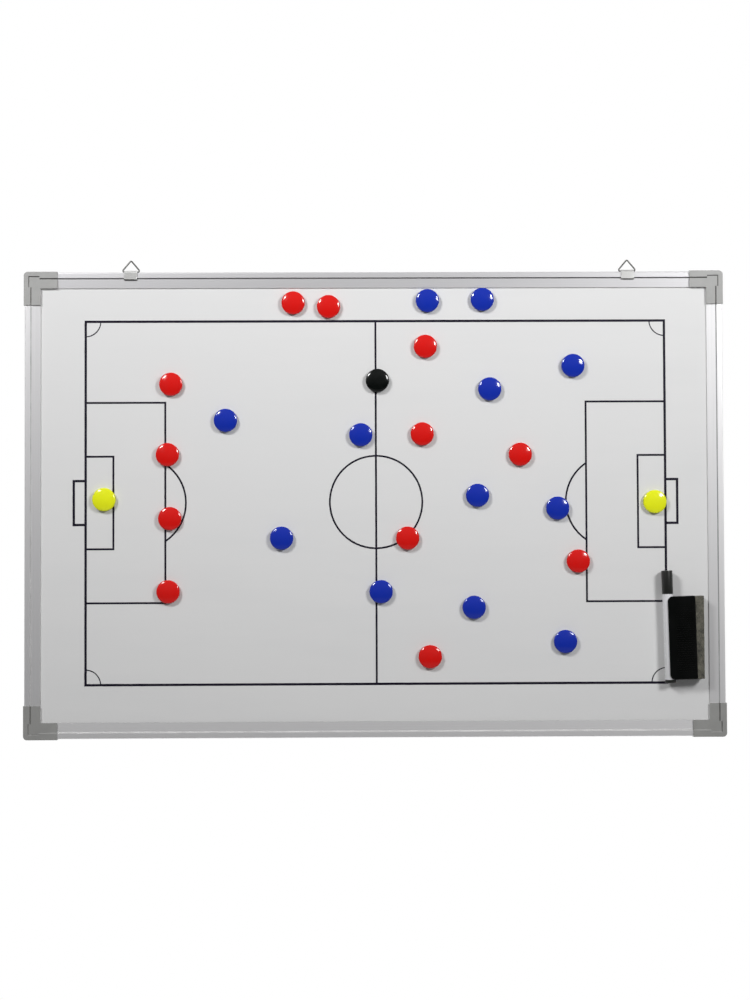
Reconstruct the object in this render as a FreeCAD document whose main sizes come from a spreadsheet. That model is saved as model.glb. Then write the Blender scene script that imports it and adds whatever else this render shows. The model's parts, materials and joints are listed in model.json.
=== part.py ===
"""Wall-hung magnetic tactics board: framed steel face with a printed pitch, magnets, eraser and pen.

Frame: +X to the right, +Z up, the face looks along -Y. The origin lies on the wall, behind the middle
of the board: the backs of the corner caps touch the wall at Y 0. All lengths are in millimetres.
"""

import FreeCAD
import Part

import os
import re

import Sketcher

# Driving sizes, in millimetres (angles in degrees)
SIZES = {
    # Whole board, over the corner caps
    "board_width": 900,
    "board_height": 600,
    # Frame rail section, measured inwards from the rail's outer edge
    "rail_face": 20.5,
    "rail_wall": 1.2,
    "rail_edge_radius": 1.4,
    "groove_from_edge": 7.2,
    "groove_width": 1.6,
    "groove_depth": 1.6,
    "lip_thickness": 1.4,
    "lip_rise": 0.5,
    "lip_drop": 0.4,
    "back_lip_reach": 16,
    # Corner cap
    "cap_skin": 1.2,
    "cap_arm": 43.3,
    "cap_corner_radius": 5,
    "cap_edge_radius": 0.8,
    "cap_square_margin": 1.4,
    "cap_line_inset": 5.9,
    "cap_line_width": 1.2,
    "cap_line_depth": 0.8,
    "cap_tongue_length": 18,
    # Gaps: moulded piece on rail, panel edge to rail web, and how far a cut runs past its piece
    "fit_gap": 0.1,
    "panel_edge_gap": 0.3,
    "overrun": 2,
    # Panel layers
    "backing_thickness": 0.3,
    "core_thickness": 8,
    "steel_thickness": 0.4,
    "ink_thickness": 0.1,
    # Printed pitch: bare margins from the rails' lips to the middle of its outer line, then its own sizes
    "pitch_left_margin": 57.5,
    "pitch_right_margin": 54.5,
    "pitch_head_margin": 42.8,
    "pitch_foot_margin": 47.8,
    "boundary_line": 3.1,
    "inner_line": 2.5,
    "arc_line": 2.3,
    "corner_line": 1.4,
    "penalty_depth": 102,
    "penalty_width": 257,
    "goal_area_depth": 35.5,
    "goal_area_width": 118.7,
    "goal_depth": 15.2,
    "goal_width": 56.3,
    "circle_radius": 59.4,
    "penalty_spot": 69,
    "corner_arc_radius": 19.3,
    # Dome magnet
    "magnet_radius": 15,
    "magnet_height": 8,
    "magnet_flat": 12.6,
    "magnet_crown": 1.84,
    "disc_radius": 11,
    "disc_thickness": 4.4,
    "disc_recess": 0.2,
    "disc_gap": 0.05,
    "magnet_slide_gap": 0.05,
    # Hanger: clip bent from strap, and triangular ring of wire
    "clip_width": 16.6,
    "clip_thickness": 0.8,
    "clip_bend_radius": 1.2,
    "clip_hook_reach": 1.1,
    "clip_skirt": 1.2,
    "clip_flare": 1.2,
    "clip_flare_angle": 40,
    "clip_left_inset": 137,
    "clip_right_inset": 123,
    "wire_radius": 1,
    "wire_gap": 0.15,
    "wire_lift": 0.3,
    "ring_side_gap": 0.24,
    "ring_leg_angle": 50,
    "ring_base_bend": 1.8,
    "ring_top_bend": 1.5,
    # Eraser
    "eraser_length": 106.2,
    "eraser_body_width": 35,
    "eraser_depth": 18,
    "eraser_wall": 2,
    "eraser_corner_radius": 6.5,
    "eraser_edge_radius": 1.2,
    "felt_thickness": 11.6,
    "eraser_lip_gap": 7.5,
    "eraser_above_lip": 52.6,
    "eraser_tilt": -1.5,
    "rib_pitch": 2.8,
    "rib_width": 1.2,
    "rib_depth": 0.6,
    "rib_end_margin": 9,
    "rib_left_margin": 9.5,
    "rib_right_margin": 2.5,
    "eraser_disc_radius": 6,
    "eraser_disc_thickness": 3,
    "eraser_disc_spacing": 56,
    # Marker pen
    "pen_length": 143.5,
    "pen_radius": 6.8,
    "pen_wall": 1.2,
    "pen_inset": 1.3,
    "pen_overhang": 4.1,
    "pen_seat_gap": 0.2,
    "pen_cap_length": 30,
    "pen_cap_step": 0.3,
    "pen_cap_wall": 1.2,
    "pen_cap_edge": 0.8,
    "pen_plug_length": 4,
    "pen_spigot_length": 8,
    "pen_collar_length": 6,
    "pen_taper_length": 8,
    "pen_slide_gap": 0.08,
    "reservoir_gap": 0.3,
    "nib_radius": 1.6,
    "nib_reach": 5,
    "nib_wall": 1.4,
    "nib_gap": 0.05,
}

# Sizes and levels that follow from the driving ones; depths are measured from the wall outwards
WORKED_OUT = {
    "cap_width": "=cap_skin + rail_face",
    "rail_back": "=cap_skin",
    "groove_start": "=cap_skin + groove_from_edge",
    "groove_end": "=groove_start + groove_width",
    "chamber_step": "=groove_start - rail_wall",
    "chamber_drop": "=groove_depth + rail_wall",
    "web_inner": "=groove_end - groove_width / 2",
    "web_outer": "=web_inner + rail_wall",
    "panel_inset": "=web_outer + panel_edge_gap",
    "panel_back": "=rail_back + rail_wall",
    "core_back": "=panel_back + backing_thickness",
    "steel_back": "=core_back + core_thickness",
    "steel_face": "=steel_back + steel_thickness",
    "ink_face": "=steel_face + ink_thickness",
    "lip_tip": "=steel_face + fit_gap",
    "lip_root": "=lip_tip + lip_thickness + lip_rise",
    "rail_front": "=lip_root + lip_drop",
    "rail_depth": "=rail_front - rail_back",
    "cap_front": "=rail_front + cap_skin",
    "rail_start": "=cap_width + fit_gap",
    "cap_square": "=cap_width - cap_square_margin",
    "wire_axis": "=wire_radius + wire_lift",
    "clip_channel": "=wire_radius + wire_gap",
    "clip_hook_top": "=groove_from_edge + fit_gap",
    "clip_hook_foot": "=clip_hook_top + clip_thickness",
    "clip_flare_top": "=clip_hook_foot + clip_skirt",
    "clip_shell": "=fit_gap + clip_thickness",
    "ring_base_cut": "=ring_base_bend / tan(ring_leg_angle / 2)",
    "ring_half_base": "=clip_width / 2 + ring_side_gap + ring_base_cut",
    "ring_peak": "=ring_half_base * tan(ring_leg_angle)",
    "ring_top_cut": "=ring_top_bend / tan(90 - ring_leg_angle)",
    "rail_top": "=board_height / 2 - cap_skin",
    "pitch_length": "=board_width - 2 * cap_width - pitch_left_margin - pitch_right_margin",
    "pitch_width": "=board_height - 2 * cap_width - pitch_head_margin - pitch_foot_margin",
    "pitch_shift": "=(pitch_left_margin - pitch_right_margin) / 2",
    "pitch_raise": "=(pitch_foot_margin - pitch_head_margin) / 2",
    "pitch_half_length": "=pitch_length / 2",
    "pitch_half_width": "=pitch_width / 2",
    "bench_top": "=board_height / 2 - cap_width - magnet_radius",
    "bench_room": "=pitch_head_margin - boundary_line / 2 - 2 * magnet_radius",
    "magnet_dome": "=(magnet_flat ^ 2 + magnet_crown ^ 2) / (2 * magnet_crown)",
    "magnet_shoulder": "=(magnet_radius - magnet_flat) / (1 - magnet_flat / magnet_dome)",
    "magnet_brow": "=magnet_height - magnet_crown",
    "magnet_side": "=magnet_brow - magnet_shoulder * (1 - magnet_crown / magnet_dome)",
    "magnet_foot": "=ink_face + magnet_slide_gap",
    "magnet_pocket": "=disc_radius + disc_gap",
    "magnet_pocket_depth": "=disc_recess + disc_thickness + disc_gap",
    "eraser_left": "=-(eraser_body_width + felt_thickness) / 2",
    "eraser_seam": "=eraser_left + eraser_body_width",
    "eraser_half": "=eraser_length / 2",
    "eraser_x": "=board_width / 2 - cap_width - eraser_lip_gap + eraser_left",
    "eraser_z": "=cap_width + eraser_above_lip + eraser_half - board_height / 2",
    "pen_cap_radius": "=pen_radius + pen_cap_step",
    "channel_radius": "=pen_cap_radius + pen_seat_gap",
    "channel_axis": "=eraser_left + pen_inset",
    "cavity_left": "=channel_axis + channel_radius + eraser_wall",
    "rib_count": "=floor((eraser_length - 2 * rib_end_margin) / rib_pitch)",
    "rib_span": "=rib_pitch * (rib_count - 1)",
    "pen_foot": "=-(eraser_half + pen_overhang)",
    "pen_x": "=eraser_x + channel_axis * cos(eraser_tilt) + pen_foot * sin(eraser_tilt)",
    "pen_z": "=eraser_z - channel_axis * sin(eraser_tilt) + pen_foot * cos(eraser_tilt)",
    "pen_depth": "=ink_face + eraser_depth / 2",
    "pen_bore": "=pen_radius - pen_wall",
    "pen_spigot": "=pen_bore - fit_gap",
    "plug_top": "=pen_plug_length + pen_spigot_length",
    "barrel_top": "=pen_length - pen_cap_length",
    "holder_foot": "=barrel_top - pen_spigot_length",
    "holder_top": "=barrel_top + pen_collar_length + pen_taper_length",
    "cap_bore": "=pen_cap_radius - pen_cap_wall",
    "nib_bore": "=nib_radius + nib_gap",
}

# Frame corners and the rail that starts at each, anticlockwise from the bottom left as seen in front
SIDES = (
    ("corner_bottom_left", "rail_bottom", "board_width", -1, -1),
    ("corner_bottom_right", "rail_right", "board_height", 1, -1),
    ("corner_top_right", "rail_top", "board_width", 1, 1),
    ("corner_top_left", "rail_left", "board_height", -1, 1),
)

# Magnets on the pitch: shares of its length from the left and of its width from the bottom
RED_SHARES = (
    (0.586, 0.929), (0.147, 0.826), (0.580, 0.687), (0.141, 0.632), (0.749, 0.630),
    (0.145, 0.456), (0.554, 0.400), (0.848, 0.335), (0.142, 0.255), (0.592, 0.074),
)
BLUE_SHARES = (
    (0.841, 0.875), (0.697, 0.811), (0.241, 0.726), (0.474, 0.685), (0.675, 0.517),
    (0.813, 0.481), (0.337, 0.401), (0.508, 0.253), (0.668, 0.209), (0.825, 0.114),
)
YELLOW_SHARES = ((0.032, 0.509), (0.981, 0.498))
BLACK_SHARES = ((0.503, 0.835),)

# Magnets resting above the pitch: share of its length from the left, share of the spare room used
RED_BENCH_SHARES = ((0.358, 0.39), (0.419, 0.82))
BLUE_BENCH_SHARES = ((0.590, 0.17), (0.685, 0.04))

LEFT, RIGHT = 1, -1
UP = FreeCAD.Vector(0, 0, 1)
ACROSS = FreeCAD.Vector(1, 0, 0)
OUTWARDS = FreeCAD.Vector(0, 1, 0)
TOLERANCE = 1e-4

document = FreeCAD.newDocument("tactics_board")
sheet = document.addObject("Spreadsheet::Sheet", "Size")
subparts = []


# The sheet, and what is bound to it


def fill_sheet():
    """Write every size into the sheet under its own name."""
    rows = list(SIZES.items()) + list(WORKED_OUT.items())
    for row, (alias, content) in enumerate(rows, start=1):
        sheet.set(f"A{row}", alias)
        sheet.set(f"B{row}", str(content))
        sheet.setAlias(f"B{row}", alias)
    document.recompute()


def in_sheet(expression):
    """Expression with the sheet's name in front of each of its sizes."""
    names = SIZES.keys() | WORKED_OUT.keys()
    return re.sub(r"[a-z_]+", lambda word: f"Size.{word[0]}" if word[0] in names else word[0], expression)


def value(expression):
    """Number that an expression gives with the sheet's present sizes."""
    return float(sheet.evalExpression(in_sheet(expression)))


def bind(item, field, expression):
    """Tie one field of an object to the sheet."""
    item.setExpression(field, in_sheet(expression))


def place(item, label, x="0", y="0", z="0", axis=OUTWARDS, angle=0):
    """Name a sub-part, turn it and tie its place to the sheet."""
    item.Label = label
    item.Placement = FreeCAD.Placement(FreeCAD.Vector(), FreeCAD.Rotation(axis, angle))
    for direction, expression in zip("xyz", (x, y, z)):
        bind(item, f"Placement.Base.{direction}", expression)
    subparts.append(item)
    return item


# Sketches and features


def new_body(name):
    return document.addObject("PartDesign::Body", f"{name}_body")


def new_sketch(body, plane, name, offset="0"):
    """Sketch on one of the body's own planes, moved along the plane's normal by the offset."""
    sketch = body.newObject("Sketcher::SketchObject", name)
    support = next(feature for feature in body.Origin.OriginFeatures if feature.Role == plane)
    sketch.AttachmentSupport = (support, "")
    sketch.MapMode = "FlatFace"
    bind(sketch, "AttachmentOffset.Base.z", offset)
    return sketch


def arc_between(start, end, radius, side):
    """Arc of under a half circle from start to end that bends to the given side."""
    chord = end - start
    middle = (start + end) * 0.5
    height = max(radius ** 2 - chord.Length ** 2 / 4, 0) ** 0.5
    centre = middle + FreeCAD.Vector(-chord.y, chord.x, 0).normalize() * height * side
    first, last = (start, end) if side == LEFT else (end, start)
    circle = Part.Circle(centre, UP, radius)
    return Part.ArcOfCircle(circle, circle.parameter(first), circle.parameter(last))


def rounded(corners, index):
    """Start and end of the arc that rounds one square corner of an outline."""
    x, y, radius = corners[index]
    here = FreeCAD.Vector(value(x), value(y), 0)
    ends = []
    ways = []
    for other in (corners[index - 1], corners[(index + 1) % len(corners)]):
        way = (FreeCAD.Vector(value(other[0]), value(other[1]), 0) - here).normalize()
        ways.append(way)
        ends.append((f"{x} + {round(way.x)} * ({radius})", f"{y} + {round(way.y)} * ({radius})"))
    side = LEFT if ways[1].cross(ways[0]).z > 0 else RIGHT
    return [(*ends[0], radius, side), ends[1]]


def outline(sketch, corners):
    """Draw a closed outline with every corner tied to the sheet.

    A corner is (x, y), (x, y, radius) for a rounded square corner, or (x, y, radius, side) where an
    arc leads to the next corner.
    """
    spots = []
    for index, corner in enumerate(corners):
        spots += rounded(corners, index) if len(corner) == 3 else [corner]
    points = [FreeCAD.Vector(value(spot[0]), value(spot[1]), 0) for spot in spots]
    first = sketch.GeometryCount
    constraints = []
    expressions = []
    starts = []
    for index, spot in enumerate(spots):
        edge = first + index
        start, end = points[index], points[(index + 1) % len(points)]
        starts.append((edge, 1, 2))
        if len(spot) == 4:
            sketch.addGeometry(arc_between(start, end, value(spot[2]), spot[3]))
            starts[-1] = (edge, 1, 2) if spot[3] == LEFT else (edge, 2, 1)
            constraints.append(Sketcher.Constraint("Radius", edge, value(spot[2])))
            expressions.append(spot[2])
        else:
            sketch.addGeometry(Part.LineSegment(start, end))
        begin = starts[-1][1]
        constraints.append(Sketcher.Constraint("DistanceX", -1, 1, edge, begin, start.x))
        constraints.append(Sketcher.Constraint("DistanceY", -1, 1, edge, begin, start.y))
        expressions += spot[:2]
    for index, (edge, begin, finish) in enumerate(starts):
        following = starts[(index + 1) % len(starts)]
        constraints.append(Sketcher.Constraint("Coincident", edge, finish, following[0], following[1]))
    before = sketch.ConstraintCount
    sketch.addConstraint(constraints)
    for index, expression in enumerate(expressions):
        bind(sketch, f"Constraints[{before + index}]", expression)


def rectangle(sketch, left, right, bottom, top):
    outline(sketch, [(left, bottom), (right, bottom), (right, top), (left, top)])


def circle(sketch, x, y, radius):
    """Circle whose centre and radius are tied to the sheet."""
    edge = sketch.addGeometry(Part.Circle(FreeCAD.Vector(value(x), value(y), 0), UP, value(radius)))
    before = sketch.ConstraintCount
    sketch.addConstraint([
        Sketcher.Constraint("DistanceX", -1, 1, edge, 3, value(x)),
        Sketcher.Constraint("DistanceY", -1, 1, edge, 3, value(y)),
        Sketcher.Constraint("Radius", edge, value(radius)),
    ])
    for index, expression in enumerate((x, y, radius)):
        bind(sketch, f"Constraints[{before + index}]", expression)


def pad(body, sketch, length):
    feature = body.newObject("PartDesign::Pad", f"{sketch.Name}_pad")
    feature.Profile = sketch
    bind(feature, "Length", length)
    return feature


def pocket(body, sketch, length):
    feature = body.newObject("PartDesign::Pocket", f"{sketch.Name}_pocket")
    feature.Profile = sketch
    bind(feature, "Length", length)
    return feature


def revolve(body, sketch):
    feature = body.newObject("PartDesign::Revolution", f"{sketch.Name}_turned")
    feature.Profile = sketch
    feature.ReferenceAxis = (sketch, ["V_Axis"])
    return feature


def round_edges(body, name, radius, chosen):
    """Fillet the edges of the body whose corners all pass the test."""
    document.recompute()
    base = body.Tip
    edges = [
        f"Edge{number}"
        for number, edge in enumerate(base.Shape.Edges, start=1)
        if all(chosen(vertex.Point) for vertex in edge.Vertexes)
    ]
    feature = body.newObject("PartDesign::Fillet", name)
    feature.Base = (base, edges)
    bind(feature, "Radius", radius)


def near(length, expression):
    return abs(length - value(expression)) < TOLERANCE


# Frame: every rail and cap is drawn as the bottom left one, in from the cap's outer corner, and turned


def along(profile):
    """Section points (in from the edge, out from the wall) as seen by a sketch across the rail."""
    return [(f"-({out})", inwards, *rest) for inwards, out, *rest in profile]


def upright(profile):
    """The same section points as seen by a sketch across the upright arm of a cap."""
    return [(inwards, f"-({out})", *rest) for inwards, out, *rest in profile]


def rail_section():
    """Outer outline of the rail: clip grooves front and back, panel channel, sloping front lip."""
    return [
        ("cap_skin", "rail_back", "rail_edge_radius"),
        ("groove_start", "rail_back"),
        ("groove_start", "rail_back + groove_depth"),
        ("groove_end", "rail_back + groove_depth"),
        ("groove_end", "rail_back"),
        ("cap_skin + back_lip_reach", "rail_back"),
        ("cap_skin + back_lip_reach", "panel_back"),
        ("web_outer", "panel_back"),
        ("web_outer", "lip_root - lip_thickness"),
        ("cap_width", "lip_tip"),
        ("cap_width", "lip_tip + lip_thickness"),
        ("groove_end", "lip_root"),
        ("groove_end", "rail_front - groove_depth"),
        ("groove_start", "rail_front - groove_depth"),
        ("groove_start", "rail_front"),
        ("cap_skin", "rail_front", "rail_edge_radius"),
    ]


def rail_chamber():
    """Hollow of the rail, stepped round the two grooves."""
    return [
        ("cap_skin + rail_wall", "panel_back"),
        ("chamber_step", "panel_back"),
        ("chamber_step", "rail_back + chamber_drop"),
        ("web_inner", "rail_back + chamber_drop"),
        ("web_inner", "rail_front - chamber_drop"),
        ("chamber_step", "rail_front - chamber_drop"),
        ("chamber_step", "rail_front - rail_wall"),
        ("cap_skin + rail_wall", "rail_front - rail_wall"),
    ]


def cap_section():
    """Outline of a cap's arm: a plain block, one skin larger than the rail."""
    return [("0", "0"), ("cap_width", "0"), ("cap_width", "cap_front"), ("0", "cap_front")]


def cap_socket():
    """Room for the rail inside a cap's arm, open towards the panel."""
    return [
        ("cap_skin - fit_gap", "rail_back - fit_gap"),
        ("cap_width + overrun", "rail_back - fit_gap"),
        ("cap_width + overrun", "lip_tip + lip_thickness + fit_gap"),
        ("cap_width", "lip_tip + lip_thickness + fit_gap"),
        ("groove_end", "lip_root + fit_gap"),
        ("groove_end", "rail_front + fit_gap"),
        ("cap_skin - fit_gap", "rail_front + fit_gap"),
    ]


def cap_tongue():
    """Tongue of a cap, which fills the outer part of the rail's hollow."""
    return [
        ("cap_skin + rail_wall + fit_gap", "panel_back + fit_gap"),
        ("chamber_step - fit_gap", "panel_back + fit_gap"),
        ("chamber_step - fit_gap", "rail_front - rail_wall - fit_gap"),
        ("cap_skin + rail_wall + fit_gap", "rail_front - rail_wall - fit_gap"),
    ]


def make_rail(name, side):
    body = new_body(name)
    section = new_sketch(body, "YZ_Plane", f"{name}_section", "rail_start")
    outline(section, along(rail_section()))
    outline(section, along(rail_chamber()))
    pad(body, section, f"{side} - 2 * rail_start")
    return body


def make_corner(name):
    body = new_body(name)
    arms = (("YZ_Plane", along, "arm"), ("XY_Plane", upright, "stem"))
    for plane, turned, arm in arms:
        section = new_sketch(body, plane, f"{name}_{arm}")
        outline(section, turned(cap_section()))
        pad(body, section, "cap_arm")
    round_edges(body, f"{name}_corner", "cap_corner_radius", lambda p: near(p.x, "0") and near(p.z, "0"))
    round_edges(
        body, f"{name}_rim", "cap_edge_radius",
        lambda p: near(p.y, "-cap_front") and min(p.x, p.z) < value("cap_corner_radius") - TOLERANCE,
    )
    slot = new_sketch(body, "XZ_Plane", f"{name}_slot", "steel_face + fit_gap")
    rectangle(slot, *("panel_inset - fit_gap", "cap_width + overrun") * 2)
    pocket(body, slot, "steel_face - panel_back + 2 * fit_gap")
    for plane, turned, arm in arms:
        socket = new_sketch(body, plane, f"{name}_{arm}_socket", "cap_arm")
        outline(socket, turned(cap_socket()))
        pocket(body, socket, "cap_arm - cap_width")
        tongue = new_sketch(body, plane, f"{name}_{arm}_tongue", "cap_width")
        outline(tongue, turned(cap_tongue()))
        pad(body, tongue, "cap_tongue_length")
    cut_lines(body, name)
    return body


def cut_lines(body, name):
    """Lines in a cap's front: two sides of its corner square, and the rails' grooves carried on."""
    lines = new_sketch(body, "XZ_Plane", f"{name}_lines", "cap_front")
    outer, inner, end = "cap_line_inset", "cap_line_inset + cap_line_width", "cap_square"
    outline(lines, [(outer, outer), (end, outer), (end, inner), (inner, inner), (inner, end), (outer, end)])
    rectangle(lines, end, "cap_arm + overrun", "groove_start", "groove_end")
    rectangle(lines, "groove_start", "groove_end", end, "cap_arm + overrun")
    pocket(body, lines, "cap_line_depth")


def make_frame():
    for order, (corner, rail, side, right, up) in enumerate(SIDES):
        spot = {
            "x": f"{right} * board_width / 2",
            "z": f"{up} * board_height / 2",
            "angle": -90 * order,
        }
        place(make_corner(corner), corner, **spot)
        place(make_rail(rail, side), rail, **spot)


# Panel and print


def make_layer(name, thickness, face):
    """One flat layer of the panel, whose front lies at the given depth."""
    layer = document.addObject("Part::Box", name)
    bind(layer, "Length", "board_width - 2 * panel_inset")
    bind(layer, "Width", thickness)
    bind(layer, "Height", "board_height - 2 * panel_inset")
    place(
        layer, name,
        x="panel_inset - board_width / 2", y=f"-({face})", z="panel_inset - board_height / 2",
    )


def print_area(body, name, left, right, bottom, top, line):
    """Printed rectangle, drawn on the line's centre."""
    sketch = new_sketch(body, "XZ_Plane", name)
    half = f"{line} / 2"
    rectangle(sketch, f"{left} - {half}", f"{right} + {half}", f"{bottom} - {half}", f"{top} + {half}")
    rectangle(sketch, f"{left} + {half}", f"{right} - {half}", f"{bottom} + {half}", f"{top} - {half}")
    pad(body, sketch, "ink_thickness")


def print_penalty_arc(body, name, side):
    """Arc outside a penalty area, about its spot; side is -1 at the left goal and 1 at the right."""
    sketch = new_sketch(body, "XZ_Plane", name)
    edge = f"{side} * (pitch_half_length - penalty_depth)"
    rise = "(penalty_depth - penalty_spot)"
    peak = f"{side} * (pitch_half_length - penalty_spot"
    outer, inner = "(circle_radius + arc_line / 2)", "(circle_radius - arc_line / 2)"
    bend = LEFT if side == RIGHT else RIGHT
    back = RIGHT if bend == LEFT else LEFT
    outline(sketch, [
        (edge, f"-sqrt({outer} ^ 2 - {rise} ^ 2)", outer, bend),
        (f"{peak} - {outer})", "0", outer, bend),
        (edge, f"sqrt({outer} ^ 2 - {rise} ^ 2)"),
        (edge, f"sqrt({inner} ^ 2 - {rise} ^ 2)", inner, back),
        (f"{peak} - {inner})", "0", inner, back),
        (edge, f"-sqrt({inner} ^ 2 - {rise} ^ 2)"),
    ])
    pad(body, sketch, "ink_thickness")


def print_corner_arc(body, name, side, up):
    """Quarter circle round one corner of the pitch."""
    sketch = new_sketch(body, "XZ_Plane", name)
    x, z = f"{side} * pitch_half_length", f"{up} * pitch_half_width"
    outer, inner = "(corner_arc_radius + corner_line / 2)", "(corner_arc_radius - corner_line / 2)"
    bend = LEFT if side == up else RIGHT
    back = RIGHT if bend == LEFT else LEFT
    outline(sketch, [
        (f"{x} - {side} * {outer}", z, outer, bend),
        (x, f"{z} - {up} * {outer}"),
        (x, f"{z} - {up} * {inner}", inner, back),
        (f"{x} - {side} * {inner}", z),
    ])
    pad(body, sketch, "ink_thickness")


def make_print():
    """Ink film of all the pitch's lines, about the pitch's middle."""
    body = new_body("pitch_print")
    length, width = "pitch_half_length", "pitch_half_width"
    print_area(body, "boundary", f"-{length}", length, f"-{width}", width, "boundary_line")
    halfway = new_sketch(body, "XZ_Plane", "halfway")
    rectangle(halfway, "-inner_line / 2", "inner_line / 2", f"-{width}", width)
    pad(body, halfway, "ink_thickness")
    centre = new_sketch(body, "XZ_Plane", "centre_circle")
    circle(centre, "0", "0", "circle_radius + arc_line / 2")
    circle(centre, "0", "0", "circle_radius - arc_line / 2")
    pad(body, centre, "ink_thickness")
    for side, end in ((-1, "left"), (1, "right")):
        goal_line = f"{side} * {length}"
        areas = (
            ("penalty", f"{side} * ({length} - penalty_depth)", "penalty_width / 2", "inner_line"),
            ("goal_area", f"{side} * ({length} - goal_area_depth)", "goal_area_width / 2", "inner_line"),
            ("goal", f"{side} * ({length} + goal_depth)", "goal_width / 2", "boundary_line"),
        )
        for name, far, half, line in areas:
            left, right = sorted((goal_line, far), key=value)
            print_area(body, f"{name}_{end}", left, right, f"-{half}", half, line)
        print_penalty_arc(body, f"penalty_arc_{end}", side)
        for up, level in ((-1, "bottom"), (1, "top")):
            print_corner_arc(body, f"corner_arc_{level}_{end}", side, up)
    place(body, "pitch_print", x="pitch_shift", y="-steel_face", z="pitch_raise")


def make_panel():
    make_layer("back_sheet", "backing_thickness", "core_back")
    make_layer("core_board", "core_thickness", "steel_back")
    make_layer("steel_sheet", "steel_thickness", "steel_face")
    make_print()


# Magnets


def make_magnets():
    """Dome caps with a disc inside, all copies of one cap and one disc, free to slide over the print."""
    cap = new_body("magnet_cap")
    section = new_sketch(cap, "XZ_Plane", "magnet_section")
    outline(section, [
        ("0", "magnet_pocket_depth"),
        ("magnet_pocket", "magnet_pocket_depth"),
        ("magnet_pocket", "0"),
        ("magnet_radius", "0"),
        ("magnet_radius", "magnet_side", "magnet_shoulder", LEFT),
        ("magnet_flat", "magnet_brow", "magnet_dome", LEFT),
        ("0", "magnet_height"),
    ])
    revolve(cap, section)
    disc = document.addObject("Part::Cylinder", "magnet_disc")
    bind(disc, "Radius", "disc_radius")
    bind(disc, "Height", "disc_thickness")
    bind(disc, "Placement.Base.z", "disc_recess")
    colours = (
        ("red_magnet_{:02}", RED_SHARES, RED_BENCH_SHARES),
        ("blue_magnet_{:02}", BLUE_SHARES, BLUE_BENCH_SHARES),
        ("yellow_magnet_{}", YELLOW_SHARES, ()),
        ("black_magnet", BLACK_SHARES, ()),
    )
    for pattern, field_shares, bench_shares in colours:
        spots = [(x, f"pitch_raise + ({up} - 0.5) * pitch_width") for x, up in field_shares]
        spots += [(x, f"bench_top - {used} * bench_room") for x, used in bench_shares]
        for number, (x, z) in enumerate(spots, start=1):
            label = pattern.format(number)
            magnet = document.addObject("Part::Compound", label)
            magnet.Links = [cap, disc]
            place(magnet, label, f"pitch_shift + ({x} - 0.5) * pitch_length", "-magnet_foot", z, ACROSS, 90)


# Hangers


def make_clip(name, x):
    """Strap over the top rail, hooked into its grooves, humped over the wire, with a flared foot."""
    body = new_body(name)
    section = new_sketch(body, "YZ_Plane", f"{name}_section", "-clip_width / 2")
    middle = "(rail_back + rail_depth / 2)"
    hook_top, hook_foot = "-clip_hook_top", "-clip_hook_foot"
    channel, hump = "clip_channel", "(clip_channel + clip_thickness)"
    flare_out = "rail_front + fit_gap + clip_flare * sin(clip_flare_angle)"
    flare_foot = "-(clip_flare_top + clip_flare * cos(clip_flare_angle))"
    flare_edge = f"{flare_out} + clip_thickness * cos(clip_flare_angle)"
    outline(section, [(f"-({out})", up, *rest) for out, up, *rest in (
        ("rail_front - clip_hook_reach", hook_top),
        ("rail_front + fit_gap", hook_top),
        ("rail_front + fit_gap", "fit_gap"),
        (f"{middle} + {channel}", "fit_gap"),
        (f"{middle} + {channel}", "wire_axis", channel, RIGHT),
        (middle, f"wire_axis + {channel}", channel, RIGHT),
        (f"{middle} - {channel}", "wire_axis"),
        (f"{middle} - {channel}", "fit_gap"),
        ("rail_back - fit_gap", "fit_gap"),
        ("rail_back - fit_gap", hook_top),
        ("rail_back + clip_hook_reach", hook_top),
        ("rail_back + clip_hook_reach", hook_foot),
        ("rail_back - clip_shell", hook_foot),
        ("rail_back - clip_shell", "clip_shell", "clip_bend_radius"),
        (f"{middle} - {hump}", "clip_shell"),
        (f"{middle} - {hump}", "wire_axis", hump, LEFT),
        (middle, f"wire_axis + {hump}", hump, LEFT),
        (f"{middle} + {hump}", "wire_axis"),
        (f"{middle} + {hump}", "clip_shell"),
        ("rail_front + clip_shell", "clip_shell", "clip_bend_radius"),
        ("rail_front + clip_shell", "clip_thickness * tan(clip_flare_angle / 2) - clip_flare_top"),
        (flare_edge, f"{flare_foot} + clip_thickness * sin(clip_flare_angle)"),
        (flare_out, flare_foot),
        ("rail_front + fit_gap", "-clip_flare_top"),
        ("rail_front + fit_gap", hook_foot),
        ("rail_front - clip_hook_reach", hook_foot),
    )])
    pad(body, section, "clip_width")
    place(body, name, x=x, z="rail_top")


def make_ring(name, x):
    """Triangle of round wire with bent corners, standing on its base, which turns in the clip."""
    body = new_body(name)
    path = new_sketch(body, "XZ_Plane", f"{name}_path")
    flat = "(clip_width / 2 + ring_side_gap)"
    low_x = "(ring_half_base - ring_base_cut * cos(ring_leg_angle))"
    low_z = "ring_base_cut * sin(ring_leg_angle)"
    high_x = "ring_top_cut * cos(ring_leg_angle)"
    high_z = "ring_peak - ring_top_cut * sin(ring_leg_angle)"
    outline(path, [
        ("0", "0"),
        (flat, "0", "ring_base_bend", LEFT),
        (low_x, low_z),
        (high_x, high_z, "ring_top_bend", LEFT),
        (f"-{high_x}", high_z),
        (f"-{low_x}", low_z, "ring_base_bend", LEFT),
        (f"-{flat}", "0"),
    ])
    wire = new_sketch(body, "YZ_Plane", f"{name}_wire")
    circle(wire, "0", "0", "wire_radius")
    pipe = body.newObject("PartDesign::AdditivePipe", f"{name}_pipe")
    pipe.Profile = wire
    pipe.Spine = path
    place(body, name, x=x, y="-(rail_back + rail_depth / 2)", z="rail_top + wire_axis")


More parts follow.
